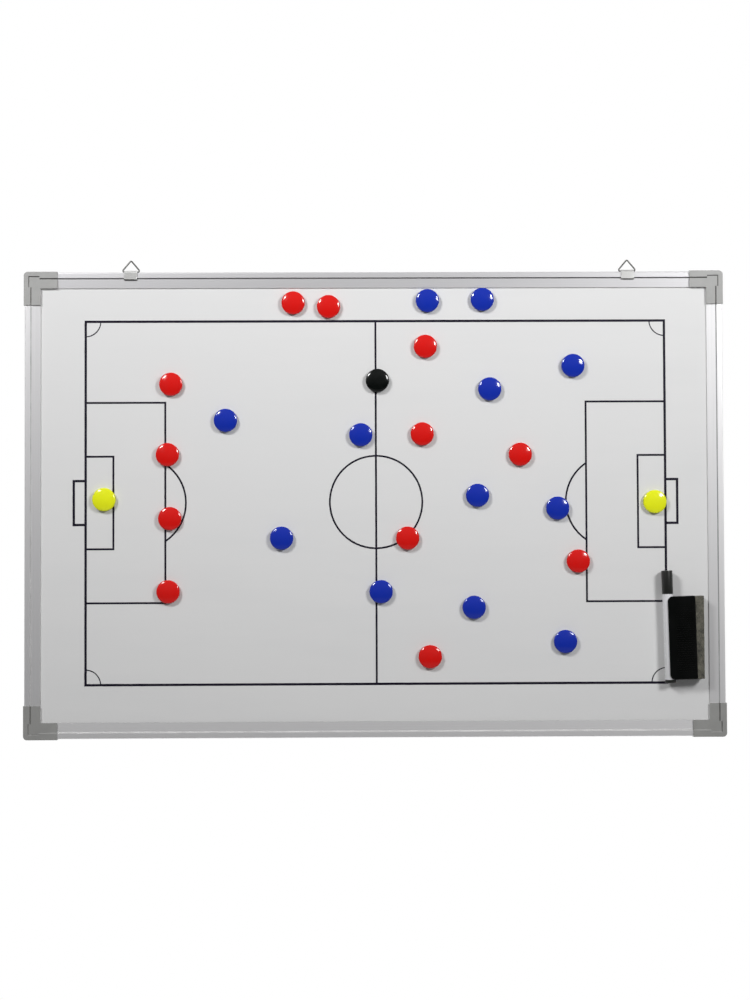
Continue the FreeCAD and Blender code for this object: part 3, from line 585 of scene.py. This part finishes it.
def lacquer_material(colours):
    """White dry-wipe lacquer: glossy, with faint traces of wiped-off marks."""
    material, tree, shader = new_material("face_lacquer", {"IOR": GLOSS_IOR})
    here = coordinates(tree)
    wiped = stretched(tree, here, WIPED_STREAKS, (0, WIPED_SLANT, 0))
    traces = noise_value(tree, wiped, scale=1.0, detail=6.0, roughness=0.62)
    traces = remap(tree, traces, low=0.42, high=0.78)
    drift = noise_value(tree, here, scale=2.6, detail=3.0)
    drift = remap(tree, drift, low=0.35, high=0.65, start=0.15, end=0.55)
    share = math_value(tree, "MULTIPLY", traces, drift)
    marks = handling(tree, here, *LACQUER_MARKS)
    feed(
        tree, shader,
        base_color=mix_colour(tree, share, colours.lacquer, colours.ghost),
        roughness=roughness_of(tree, LACQUER_FINISH, marks["Smudge"]),
    )
    bump(tree, shader, noise_value(tree, here, scale=420.0, detail=1.0), strength=0.05, depth=0.08 * MM)
    return material


def ink_material(colours):
    """Screen-printed ink: dark, slightly uneven."""
    material, tree, shader = new_material("pitch_ink", {"IOR": INK_IOR})
    body = grain(tree, coordinates(tree), *INK_GRAIN)
    feed(
        tree, shader,
        base_color=mix_colour(tree, body["Tone"], colours.ink, colours.worn_ink),
        roughness=roughness_of(tree, INK_FINISH, body["Height"], low=0.3, high=0.7),
    )
    bump(tree, shader, body["Height"], strength=0.15, depth=0.03 * MM)
    return material


def zinc_material(colours):
    """Galvanised sheet with its crystals."""
    material, tree, shader = new_material("back_zinc", {"Metallic": 1.0})
    here = coordinates(tree)
    wobble = node(tree, "ShaderNodeTexNoise", {"Vector": here, "Scale": 60.0, "Detail": 3.0})
    shaken = mix_colour(tree, SHAKE_SHARE, here, wobble.outputs["Color"])
    crystals = node(tree, "ShaderNodeTexVoronoi", {"Vector": shaken, "Scale": 75.0})
    crystal = node(tree, "ShaderNodeSeparateColor", {"Color": crystals.outputs["Color"]}).outputs["Red"]
    marks = handling(tree, here, *ZINC_MARKS)
    share = math_value(tree, "MULTIPLY", crystal, remap(tree, marks["Smudge"], start=1.0, end=0.6))
    feed(
        tree, shader,
        base_color=mix_colour(tree, share, colours.dull_zinc, colours.zinc),
        roughness=roughness_of(tree, ZINC_FINISH, crystal),
    )
    bump(tree, shader, marks["Scratch"], strength=0.2, depth=0.05 * MM)
    return material


def fibreboard_material(colours):
    """Pressed brown fibres."""
    material, tree, shader = new_material("core_fibreboard", {"Roughness": 0.85})
    body = grain(tree, coordinates(tree), *CORE_GRAIN)
    feed(tree, shader, base_color=mix_colour(tree, body["Tone"], colours.fibreboard, colours.dark_fibre))
    bump(tree, shader, body["Height"], strength=0.5, depth=0.3 * MM)
    return material


def drawn_metal(name, light, dark, closeness, finish, metallic=1.0):
    """Metal with streaks along the direction in which they lie least close."""
    material, tree, shader = new_material(name, {"Metallic": metallic})
    lines = streaks(tree, stretched(tree, coordinates(tree), closeness))
    feed(
        tree, shader,
        base_color=mix_colour(tree, lines["Tone"], dark, light),
        roughness=roughness_of(tree, reversed(finish), lines["Tone"]),
    )
    bump(tree, shader, lines["Height"], strength=0.12, depth=0.03 * MM)
    return material


def moulded_plastic(name, light, dark, finish, ior=GLOSS_IOR):
    """Satin moulding with a fine grain and slow flow marks."""
    material, tree, shader = new_material(name, {"IOR": ior})
    body = grain(tree, coordinates(tree), *MOULDED_GRAIN)
    feed(
        tree, shader,
        base_color=mix_colour(tree, body["Tone"], light, dark),
        roughness=roughness_of(tree, finish, body["Tone"]),
    )
    bump(tree, shader, body["Height"], strength=0.35, depth=0.03 * MM)
    return material


def painted_light_material(name, tone, shade):
    """Dull material of painted light and shade, whose darkest patches have a share of its tone."""
    return moulded_plastic(name, tone, shaded(tone, shade), PAINTED_LIGHT_FINISH)


def gloss_plastic(name, colour, finish):
    """Glossy moulding with smudges and hairline scratches."""
    material, tree, shader = new_material(name, {"IOR": GLOSS_IOR})
    marks = handling(tree, coordinates(tree), *GLOSS_MARKS)
    dusty = [channel * DUST_KEEPS + DUST_ADDS for channel in colour]
    share = math_value(tree, "MULTIPLY", marks["Smudge"], DUST_SHARE)
    feed(
        tree, shader,
        base_color=mix_colour(tree, share, colour, dusty),
        roughness=roughness_of(tree, finish, marks["Smudge"]),
    )
    bump(tree, shader, marks["Scratch"], strength=0.10, depth=0.02 * MM)
    return material


def ferrite_material(name, colour):
    """Ground, slightly speckled ferrite."""
    material, tree, shader = new_material(name, {"Metallic": 0.2})
    body = grain(tree, coordinates(tree), *FERRITE_GRAIN)
    feed(
        tree, shader,
        base_color=mix_colour(tree, body["Tone"], colour, shaded(colour, FERRITE_SHADE)),
        roughness=roughness_of(tree, FERRITE_FINISH, body["Height"], low=0.3, high=0.7),
    )
    bump(tree, shader, body["Height"], strength=0.3, depth=0.05 * MM)
    return material


def fibre_material(name, light, dark, closeness):
    """Pressed fibres, light and dark, with a soft sheen."""
    material, tree, shader = new_material(name, {
        "Roughness": 0.95, "Sheen Weight": 0.25, "Sheen Roughness": 0.6,
    })
    here = coordinates(tree)
    drawn_out = stretched(tree, here, STRAND_STRETCH)
    strands = noise_value(tree, drawn_out, closeness, detail=4.0, roughness=0.7)
    clumps = noise_value(tree, here, closeness * CLUMP_SHARE, detail=3.0, roughness=0.6)
    share = remap(tree, weighed(tree, STRAND_SHARE, strands, clumps), low=0.38, high=0.60)
    feed(tree, shader, base_color=mix_colour(tree, share, dark, light))
    bump(tree, shader, strands, strength=0.7, depth=0.3 * MM)
    return material


# Meshes and pieces


def copy_node(name):
    """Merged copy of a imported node's triangles, with each flat face whole."""
    bm = bmesh.new()
    bm.from_mesh(frame["nodes"][name].data)
    bmesh.ops.remove_doubles(bm, verts=bm.verts, dist=WELD)
    bmesh.ops.dissolve_limit(bm, angle_limit=FLAT, verts=bm.verts, edges=bm.edges)
    return bm


def add_object(bm, name, *materials):
    """Turn a mesh into an object of the scene."""
    mesh = bpy.data.meshes.new(name)
    bm.to_mesh(mesh)
    bm.free()
    for material in materials:
        mesh.materials.append(material)
    made = bpy.data.objects.new(name, mesh)
    bpy.context.scene.collection.objects.link(made)
    return made


def add_piece(bm, name, node_name, slot, *materials):
    """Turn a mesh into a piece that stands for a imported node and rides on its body."""
    piece = add_object(bm, name, *materials)
    piece.data.shade_smooth()
    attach(piece, BODY_OF[node_name])
    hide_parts(node_name)
    return piece


def soften(piece, width):
    """Round a piece's sharp edges and leave its flat faces flat."""
    edges = piece.modifiers.new("soft_edges", "BEVEL")
    edges.width = width
    edges.segments = SOFT_STEPS
    edges.limit_method = "ANGLE"
    edges.angle_limit = SHARP
    piece.modifiers.new("even_faces", "WEIGHTED_NORMAL")


def paint_node(name, material):
    """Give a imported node, whose shape stays as it is, a material."""
    for slot in frame["nodes"][name].material_slots:
        slot.material = material


def floors_of(bm, depth):
    """Flat floors of a piece's grooves, at a depth from the wall."""
    return [
        face for face in bm.faces
        if face.normal.y < 0 and all(abs(vert.co.y + depth) < NEAR for vert in face.verts)
    ]


def fill_floors(bm, floors, index, thickness):
    """Give the floors of grooves a material of painted light and shade, and lift them by a thickness."""
    for face in floors:
        face.material_index = index
    verts = {vert for face in floors for vert in face.verts}
    bmesh.ops.translate(bm, verts=list(verts), vec=(0, -thickness, 0))


def cut_corners(bm, floors):
    """Cut each floor that turns a corner into two straight ones."""
    for face in floors:
        if len(face.verts) > STRIP_CORNERS:
            outer, *others = sorted(face.verts, key=lambda vert: vert.co.length, reverse=True)
            inner = min(others, key=lambda vert: (vert.co - outer.co).length)
            bmesh.ops.connect_verts(bm, verts=[outer, inner])


def runs_level(face):
    """Whether an upright face is wider than it is tall."""
    across = [vert.co.x for vert in face.verts]
    upwards = [vert.co.z for vert in face.verts]
    return max(across) - min(across) > max(upwards) - min(upwards)


def mark_lip(bm, rail_name):
    """Give a rail's innermost edge, which meets the face, the piece's third material, which carries painted
    light and shade.
    """
    inward = -middle_of(rail_name)
    inward.y = 0
    inward.normalize()
    reach = max(vert.co.dot(inward) for vert in bm.verts)
    for face in bm.faces:
        if all(reach - vert.co.dot(inward) < NEAR for vert in face.verts):
            face.material_index = THIRD


def mark_foot(bm, front, top):
    """Give a clip's faces in front of the rail, up to a height, the piece's second material, a painted shadow.
    """
    for face in bm.faces:
        middle = face.calc_center_median()
        face.material_index = SECOND if -middle.y > front and middle.z < top else FIRST


def middle_of(name):
    """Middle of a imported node."""
    low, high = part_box(name)
    return (low + high) / 2


def depth_of(name):
    """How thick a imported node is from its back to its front."""
    low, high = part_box(name)
    return high.y - low.y


def front_of(name):
    """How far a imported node's front stands out from the wall."""
    return -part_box(name)[0].y


def turned_about(axis, angle):
    """Turn about an axis of the frame."""
    return Matrix.Rotation(angle, 4, axis)


def spin_profile(bm, steps):
    """Turn the profile in the mesh about the Z axis into a closed skin."""
    bmesh.ops.spin(
        bm, geom=bm.verts[:] + bm.edges[:], cent=(0, 0, 0), axis=(0, 0, 1),
        angle=math.tau, steps=steps, use_merge=True,
    )
    bmesh.ops.remove_doubles(bm, verts=bm.verts, dist=WELD)
    bmesh.ops.recalc_face_normals(bm, faces=bm.faces)


def swing(bm, vert, centre, angle, steps):
    """Draw an arc from a profile point about a centre and return its far end."""
    made = bmesh.ops.spin(bm, geom=[vert], cent=centre, axis=(0, 1, 0), angle=angle, steps=steps)
    return next(item for item in made["geom_last"] if isinstance(item, bmesh.types.BMVert))


def line_to(bm, vert, radius, height):
    """Draw a straight stretch of a profile and return its far end."""
    far = bm.verts.new((radius, 0, height))
    bm.edges.new((vert, far))
    return far


def dome_mesh(magnet, radius, height):
    """Dome of a magnet, turned about Z, with its foot on Z 0 and the disc let into it."""
    bm = bmesh.new()
    slope = math.asin(magnet.crown_reach / magnet.crown)
    pole = bm.verts.new((0, 0, height))
    centre = Vector((0, 0, height - magnet.crown))
    brow = swing(bm, pole, centre, slope, CROWN_STEPS)
    centre += (magnet.crown - magnet.shoulder) * Vector((math.sin(slope), 0, math.cos(slope)))
    rim = swing(bm, brow, centre, magnet.shoulder_end - slope, SHOULDER_STEPS)
    rim_radius = (radius - rim.co.x) / (1 - math.sin(magnet.shoulder_end))
    centre = Vector((radius - rim_radius, 0, rim.co.z - rim_radius * math.cos(magnet.shoulder_end)))
    waist = swing(bm, rim, centre, QUARTER - magnet.shoulder_end, RIM_STEPS)
    heel = line_to(bm, waist, radius, magnet.foot_edge)
    foot = swing(bm, heel, (radius - magnet.foot_edge, 0, magnet.foot_edge), QUARTER, HEEL_STEPS)
    mouth = line_to(bm, foot, magnet.disc_radius, 0)
    seat = line_to(bm, mouth, magnet.disc_radius, magnet.disc_recess)
    line_to(bm, seat, 0, magnet.disc_recess)
    spin_profile(bm, magnet.steps)
    for face in bm.faces:
        middle = face.calc_center_median()
        inside = math.hypot(middle.x, middle.y) < magnet.disc_radius
        on_disc = inside and abs(middle.z - magnet.disc_recess) < WELD
        face.material_index = SECOND if on_disc else FIRST
    return bm


def turned_mesh(profile, edge, steps, rounded):
    """Closed skin turned about Z from points (radius, height); rounded points get their own edge size."""
    bm = bmesh.new()
    verts = [bm.verts.new((radius, 0, height)) for radius, height in profile]
    pairs = list(zip(verts, verts[1:]))
    # A profile that doesn't start on the axis is a ring's
    if profile[0][0] > 0:
        pairs.append((verts[-1], verts[0]))
    for pair in pairs:
        bm.edges.new(pair)
    for point, vert in zip(profile, verts):
        if len(vert.link_edges) == 2:
            bmesh.ops.bevel(
                bm, geom=[vert], offset=rounded.get(point, edge), offset_type="OFFSET", segments=EDGE_STEPS,
                profile=0.5, affect="VERTICES", material=-1,
            )
    spin_profile(bm, steps)
    return bm


def felt_mesh(eraser):
    """Strip of felt with soft cut edges and an uneven, napped surface, about its own middle."""
    bm = bmesh.new()
    sides = Vector((eraser.felt_thickness, eraser.felt_depth, eraser.felt_length))
    bmesh.ops.create_cube(bm, size=1, matrix=Matrix.Diagonal((*sides, 1)))
    for axis in range(3):
        way = Vector([float(axis == other) for other in range(3)])
        along = [
            edge for edge in bm.edges
            if abs((edge.verts[0].co - edge.verts[1].co).normalized().dot(way)) > PARALLEL
        ]
        cuts = round(sides[axis] / eraser.felt_grid)
        bmesh.ops.subdivide_edges(bm, edges=along, cuts=cuts, use_grid_fill=True)
    core = sides / 2 - Vector([eraser.felt_edge] * 3)
    for vert in bm.verts:
        inner = Vector([max(-limit, min(limit, here)) for limit, here in zip(core, vert.co)])
        out = (vert.co - inner).normalized()
        nap = (1 + noise.fractal(vert.co / TUFT, *NAP)) / 2
        vert.co = inner + out * (eraser.felt_edge - eraser.felt_nap * max(0.0, min(1.0, nap)))
        # Wear grows towards the wiping face and towards the lower end
        worn = (0.5 + vert.co.x / sides.x) * (0.5 - vert.co.z / sides.z)
        vert.co.x -= eraser.felt_wear * worn
    bmesh.ops.recalc_face_normals(bm, faces=bm.faces)
    return bm


# Operators


class TACTICSBOARD_OT_panel(bpy.types.Operator):
    """Finish the face, the print, the core and the back of the panel"""

    bl_idname = "tactics_board.panel"
    bl_label = "Finish Panel"

    def execute(self, context):
        colours = context.scene.tactics_board.panel
        paint_node("steel_sheet", lacquer_material(colours))
        paint_node("pitch_print", ink_material(colours))
        paint_node("core_board", fibreboard_material(colours))
        paint_node("back_sheet", zinc_material(colours))
        return {"FINISHED"}


class TACTICSBOARD_OT_rails(bpy.types.Operator):
    """Make the four aluminium rails of the frame"""

    bl_idname = "tactics_board.rails"
    bl_label = "Make Rails"

    def execute(self, context):
        settings = context.scene.tactics_board.frame
        for side in (*ENDS, *SIDES):
            node_name = f"rail_{side}"
            drawn = LEVEL_STREAKS if side in ENDS else UPRIGHT_STREAKS
            # One metal, with a painted light and shade tone for each side
            light = getattr(settings, f"{side}_metal")
            dark = shaded(light, settings.dull)
            metal = drawn_metal(f"rail_drawn_{side}", light, dark, drawn, RAIL_FINISH, RAIL_METALLIC)
            # Painted light and shade on the groove floor and the inner edge of this side
            floor_shading = painted_light_material(f"rail_dust_{side}", getattr(settings, f"{side}_dust"), settings.shade)
            painted_light = painted_light_material(f"rail_lip_{side}", getattr(settings, f"{side}_lip"), settings.shade)
            bm = copy_node(node_name)
            floors = floors_of(bm, front_of(node_name) - settings.groove_depth)
            fill_floors(bm, floors, SECOND, getattr(settings, f"{side}_fill"))
            mark_lip(bm, node_name)
            rail = add_piece(bm, f"{node_name}_extrusion", node_name, "rail_aluminium", metal, floor_shading, painted_light)
            soften(rail, settings.rail_edge)
        return {"FINISHED"}


class TACTICSBOARD_OT_corner_caps(bpy.types.Operator):
    """Make the four moulded caps on the frame's corners"""

    bl_idname = "tactics_board.corner_caps"
    bl_label = "Make Corner Caps"

    def execute(self, context):
        settings = context.scene.tactics_board.frame
        # Painted light and shade in the caps' lines, by side and by end
        upright_painted_light = {
            side: painted_light_material(f"corner_line_{side}", getattr(settings, f"{side}_line"), settings.shade)
            for side in SIDES
        }
        for end, fill in zip(ENDS, (0, settings.line_fill)):
            # Painted shade makes the lower caps' grey darker
            grey = getattr(settings, f"{end}_cap")
            plastic = moulded_plastic(f"corner_grey_{end}", grey, shaded(grey, settings.cap_flow), CAP_FINISH)
            level_painted_light = painted_light_material(f"corner_line_{end}", getattr(settings, f"{end}_line"), settings.shade)
            for side in SIDES:
                node_name = f"corner_{end}_{side}"
                bm = copy_node(node_name)
                line_floor = front_of(node_name) - settings.line_depth
                cut_corners(bm, floors_of(bm, line_floor))
                floors = floors_of(bm, line_floor)
                fill_floors(bm, [face for face in floors if not runs_level(face)], SECOND, 0)
                fill_floors(bm, [face for face in floors if runs_level(face)], THIRD, fill)
                finish = plastic, upright_painted_light[side], level_painted_light
                cap = add_piece(bm, f"{node_name}_cap", node_name, "corner_plastic", *finish)
                soften(cap, settings.cap_edge)
        return {"FINISHED"}


class TACTICSBOARD_OT_hanger_clips(bpy.types.Operator):
    """Make the two bent straps that clip on the top rail"""

    bl_idname = "tactics_board.hanger_clips"
    bl_label = "Make Hanger Clips"

    def execute(self, context):
        settings = context.scene.tactics_board.hangers
        steel = drawn_metal("strap_plated", settings.strap, settings.dull_strap, STRAP_STREAKS, STRAP_FINISH)
        # Near-black painted shadow on the strap's foot in front of the rail
        foot_shadow = painted_light_material("strap_oxide", settings.foot, settings.foot_shade)
        for side in SIDES:
            node_name = f"hanger_clip_{side}"
            bm = copy_node(node_name)
            mark_foot(bm, front_of("rail_top"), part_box(node_name)[0].z + settings.foot_height)
            clip = add_piece(bm, f"{node_name}_strap", node_name, "hanger_steel", steel, foot_shadow)
            soften(clip, settings.strap_edge)
        return {"FINISHED"}


class TACTICSBOARD_OT_hanger_rings(bpy.types.Operator):
    """Make the two triangular wire rings"""

    bl_idname = "tactics_board.hanger_rings"
    bl_label = "Make Hanger Rings"

    def execute(self, context):
        settings = context.scene.tactics_board.hangers
        steel = drawn_metal("wire_plated", settings.wire, settings.dull_wire, WIRE_STREAKS, WIRE_FINISH)
        for side in SIDES:
            node_name = f"hanger_ring_{side}"
            add_piece(copy_node(node_name), f"{node_name}_wire", node_name, "hanger_steel", steel)
        return {"FINISHED"}


class TACTICSBOARD_OT_magnets(bpy.types.Operator):
    """Make the dome magnets of all four colours"""

    bl_idname = "tactics_board.magnets"
    bl_label = "Make Magnets"

    def execute(self, context):
        settings = context.scene.tactics_board.magnets
        ferrite = ferrite_material("magnet_ferrite", settings.ferrite)
        for colour in ("red", "blue", "yellow", "black"):
            plastic = gloss_plastic(f"magnet_{colour}", getattr(settings, colour), MAGNET_FINISH)
            for node_name in sorted(frame["nodes"]):
                if node_name.startswith(f"{colour}_magnet"):
                    low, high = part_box(node_name)
                    bm = dome_mesh(settings, (high.x - low.x) / 2, depth_of(node_name))
                    foot = Vector(((low.x + high.x) / 2, high.y, (low.z + high.z) / 2))
                    bm.transform(Matrix.Translation(foot) @ turned_about("X", QUARTER))
                    add_piece(bm, f"{node_name}_dome", node_name, f"magnet_{colour}", plastic, ferrite)
        return {"FINISHED"}


class TACTICSBOARD_OT_eraser_body(bpy.types.Operator):
    """Make the ribbed eraser body and finish the magnets inside it"""

    bl_idname = "tactics_board.eraser_body"
    bl_label = "Make Eraser Body"

    def execute(self, context):
        board = context.scene.tactics_board
        settings = board.eraser
        tones = settings.black, settings.worn_black
        plastic = moulded_plastic("eraser_black", *tones, SATIN_FINISH, ERASER_IOR)
        bm = copy_node("eraser_body")
        body = add_piece(bm, "eraser_body_moulding", "eraser_body", "eraser_plastic", plastic)
        soften(body, settings.edge)
        paint_node("eraser_magnets", ferrite_material("eraser_ferrite", board.magnets.ferrite))
        return {"FINISHED"}


class TACTICSBOARD_OT_eraser_felt(bpy.types.Operator):
    """Make the felt strip of the eraser"""

    bl_idname = "tactics_board.eraser_felt"
    bl_label = "Make Eraser Felt"

    def execute(self, context):
        settings = context.scene.tactics_board.eraser
        bm = felt_mesh(settings)
        bm.transform(Matrix.Translation(middle_of("eraser_felt")) @ turned_about("Y", settings.lean))
        fibre = fibre_material("eraser_fibres", settings.felt, settings.dark_felt, FELT_FIBRES)
        felt = add_piece(bm, "eraser_felt_strip", "eraser_felt", "eraser_felt", fibre)
        return {"FINISHED"}


class TACTICSBOARD_OT_pen(bpy.types.Operator):
    """Make the marker pen: barrel, plug, cap, nib and what is inside"""

    bl_idname = "tactics_board.pen"
    bl_label = "Make Pen"

    def execute(self, context):
        board = context.scene.tactics_board
        pen = board.pen
        radius, cap_radius = depth_of("pen_barrel") / 2, depth_of("pen_cap") / 2
        bore, cap_bore = radius - pen.wall, cap_radius - pen.wall
        spigot = bore - pen.fit
        barrel_top = pen.length - pen.cap_length
        cap_foot, cap_roof = barrel_top + pen.fit, pen.length - pen.wall
        holder_foot = barrel_top - pen.spigot_length
        collar_top = barrel_top + pen.collar_length
        holder_top = collar_top + pen.taper_length
        plug_top = pen.plug_length + pen.spigot_length
        nib_top = holder_top + pen.nib_reach
        white = gloss_plastic("pen_white", pen.white, BARREL_FINISH)
        dark = moulded_plastic("pen_dark", pen.dark, pen.dark_flow, SATIN_FINISH)
        grey = moulded_plastic("pen_grey", pen.grey, shaded(pen.grey, HOLDER_SHADE), HOLDER_FINISH)
        fibre = fibre_material("pen_fibres", pen.fibre, pen.dark_fibre, PEN_FIBRES)
        sections = {
            "pen_barrel": (white, "pen_white", [
                (bore, pen.plug_length), (radius, pen.plug_length), (radius, barrel_top), (bore, barrel_top),
            ], {}),
            "pen_end_plug": (dark, "pen_dark", [
                (0, 0), (radius, 0), (radius, pen.plug_length), (spigot, pen.plug_length),
                (spigot, plug_top), (0, plug_top),
            ], {(radius, 0): pen.dome_edge}),
            "pen_cap": (dark, "pen_dark", [
                (cap_bore, cap_foot), (cap_radius, cap_foot), (cap_radius, pen.length),
                (0, pen.length), (0, cap_roof), (cap_bore, cap_roof),
            ], {(cap_radius, pen.length): pen.dome_edge}),
            "pen_nib_holder": (grey, "pen_grey", [
                (pen.nib_radius, holder_foot), (spigot, holder_foot), (spigot, barrel_top),
                (cap_bore - pen.fit, barrel_top), (cap_bore - pen.fit, collar_top),
                (pen.nib_radius + pen.wall, holder_top), (pen.nib_radius, holder_top),
            ], {}),
            "pen_nib": (fibre, "pen_fibre", [
                (0, holder_foot), (pen.nib_radius, holder_foot), (pen.nib_radius, nib_top), (0, nib_top),
            ], {(pen.nib_radius, nib_top): pen.nib_radius * NIB_ROUND_SHARE}),
            "pen_ink_reservoir": (fibre, "pen_fibre", [
                (0, plug_top), (spigot - pen.fit, plug_top),
                (spigot - pen.fit, holder_foot), (0, holder_foot),
            ], {}),
        }
        barrel_middle = Vector((0, 0, (pen.plug_length + barrel_top) / 2))
        lean = turned_about("Y", board.eraser.lean)
        stand = Matrix.Translation(middle_of("pen_barrel")) @ lean @ Matrix.Translation(-barrel_middle)
        for node_name, (material, slot, profile, rounded) in sections.items():
            bm = turned_mesh(profile, pen.edge, pen.steps, rounded)
            bm.transform(stand)
            add_piece(bm, f"{node_name}_turned", node_name, slot, material)
        return {"FINISHED"}


# Stage


def floor_material(stage):
    """Pale floor that the camera and glass see as white; gloss sees it dimmer in front of the board."""
    material = bpy.data.materials.new("studio_floor")
    material.use_nodes = True
    tree = material.node_tree
    tree.nodes.clear()
    path = node(tree, "ShaderNodeLightPath").outputs
    pale = node(tree, "ShaderNodeBsdfDiffuse", {"Color": (*stage.floor, 1)}).outputs["BSDF"]
    parts = node(tree, "ShaderNodeSeparateXYZ", {"Vector": coordinates(tree)}).outputs
    dimmed = remap(tree, parts["Y"], low=-0.3, high=0.1, start=stage.floor_gloss)
    gloss = math_value(tree, "MULTIPLY", path["Is Glossy Ray"], dimmed)
    seen = greatest(tree, path["Is Camera Ray"], path["Is Transmission Ray"], gloss)
    glow = math_value(tree, "MULTIPLY", seen, stage.floor_glow)
    white = node(tree, "ShaderNodeEmission", {"Strength": glow}).outputs["Emission"]
    both = node(tree, "ShaderNodeAddShader", {0: pale, 1: white}).outputs["Shader"]
    node(tree, "ShaderNodeOutputMaterial", {"Surface": both})
    return material


def light_world(stage):
    """Even light from all round; the camera, gloss and glass see white, dimmer in front of the board."""
    world = bpy.data.worlds.new("studio_room")
    world.use_nodes = True
    tree = world.node_tree
    tree.nodes.clear()
    path = node(tree, "ShaderNodeLightPath").outputs
    way = node(tree, "ShaderNodeTexCoord").outputs["Generated"]
    parts = node(tree, "ShaderNodeSeparateXYZ", {"Vector": way}).outputs
    front = remap(tree, parts["Z"], low=-0.2, high=0.5, start=stage.room_low, end=stage.room_high)
    room = remap(tree, parts["Y"], low=-0.5, high=0.5, start=front)
    white_level = greatest(tree, path["Is Camera Ray"], room)
    seen = greatest(tree, path["Is Camera Ray"], path["Is Glossy Ray"], path["Is Transmission Ray"])
    soft = node(tree, "ShaderNodeBackground", {"Color": (1, 1, 1, 1), "Strength": stage.ambient})
    white = node(tree, "ShaderNodeBackground", {"Color": (1, 1, 1, 1), "Strength": white_level})
    mixed = node(tree, "ShaderNodeMixShader", {0: seen, 1: soft.outputs[0], 2: white.outputs[0]})
    node(tree, "ShaderNodeOutputWorld", {"Surface": mixed.outputs["Shader"]})
    bpy.context.scene.world = world


def add_lamp(name, where, aim, width, power, spread):
    """Square soft lamp that points at the given height above the board's middle."""
    light = bpy.data.lights.new(name, "AREA")
    light.energy = power
    light.size = width
    light.spread = spread
    lamp = bpy.data.objects.new(name, light)
    lamp.location = where
    lamp.rotation_euler = (Vector((0, 0, aim)) - Vector(where)).to_track_quat("-Z", "Y").to_euler()
    lamp.visible_camera = False
    bpy.context.scene.collection.objects.link(lamp)


def add_camera(stage):
    """Camera that sees the board as the photograph does."""
    camera = bpy.data.objects.new("photo_camera", bpy.data.cameras.new("photo_camera"))
    camera.data.lens = stage.lens
    turned = turned_about("Z", -stage.camera_yaw)
    turned @= turned_about("X", QUARTER + stage.camera_pitch)
    turned @= turned_about("Z", stage.camera_roll)
    stand = Vector((stage.camera_side, -stage.camera_out, stage.camera_up))
    camera.matrix_world = Matrix.Translation(stand) @ turned
    bpy.context.scene.collection.objects.link(camera)
    bpy.context.scene.camera = camera


class TACTICSBOARD_OT_stage(bpy.types.Operator):
    """Set up the floor, the lamps, the room and the camera"""

    bl_idname = "tactics_board.stage"
    bl_label = "Set Stage"

    def execute(self, context):
        stage = context.scene.tactics_board.stage
        bm = bmesh.new()
        bmesh.ops.create_circle(bm, cap_ends=True, radius=stage.floor_radius, segments=FLOOR_STEPS)
        bmesh.ops.translate(bm, verts=bm.verts, vec=(0, 0, cad_box[0].z - stage.floor_drop))
        floor = add_object(bm, "studio_floor", floor_material(stage))
        beam = stage.lamp_aim, stage.lamp_width
        add_lamp("lamp_left", stage.left_lamp, *beam, stage.left_power, stage.lamp_spread)
        add_lamp("lamp_right", stage.right_lamp, *beam, stage.right_power, stage.lamp_spread)
        behind = (0, stage.fill_out, stage.fill_up)
        add_lamp("lamp_behind", behind, 0, stage.fill_width, stage.fill_power, math.pi)
        light_world(stage)
        add_camera(stage)
        context.scene.view_settings.view_transform = "Standard"
        return {"FINISHED"}


class VIEW3D_PT_tactics_board(bpy.types.Panel):
    """Lists the steps that finish the tactics board"""

    bl_label = "Tactics Board"
    bl_space_type = "VIEW_3D"
    bl_region_type = "UI"
    bl_category = "Tactics Board"

    def draw(self, context):
        for operator in OPERATORS:
            self.layout.operator(operator.bl_idname)


SETTINGS = (
    PanelSettings, FrameSettings, HangerSettings, MagnetSettings, EraserSettings, PenSettings, StageSettings,
    BoardSettings,
)
OPERATORS = (
    TACTICSBOARD_OT_panel, TACTICSBOARD_OT_rails, TACTICSBOARD_OT_corner_caps, TACTICSBOARD_OT_hanger_clips,
    TACTICSBOARD_OT_hanger_rings, TACTICSBOARD_OT_magnets, TACTICSBOARD_OT_eraser_body,
    TACTICSBOARD_OT_eraser_felt, TACTICSBOARD_OT_pen, TACTICSBOARD_OT_stage,
)


def register():
    """Make the add-on's classes and the scene's settings known."""
    for cls in (*SETTINGS, *OPERATORS, VIEW3D_PT_tactics_board):
        bpy.utils.register_class(cls)
    bpy.types.Scene.tactics_board = PointerProperty(type=BoardSettings)


def unregister():
    """Take the scene's settings and the add-on's classes away."""
    del bpy.types.Scene.tactics_board
    for cls in reversed((*SETTINGS, *OPERATORS, VIEW3D_PT_tactics_board)):
        bpy.utils.unregister_class(cls)


def main():
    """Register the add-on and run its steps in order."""
    register()
    bpy.ops.tactics_board.panel()
    bpy.ops.tactics_board.rails()
    bpy.ops.tactics_board.corner_caps()
    bpy.ops.tactics_board.hanger_clips()
    bpy.ops.tactics_board.hanger_rings()
    bpy.ops.tactics_board.magnets()
    bpy.ops.tactics_board.eraser_body()
    bpy.ops.tactics_board.eraser_felt()
    bpy.ops.tactics_board.pen()
    bpy.ops.tactics_board.stage()


if __name__ == "__main__":
    main()
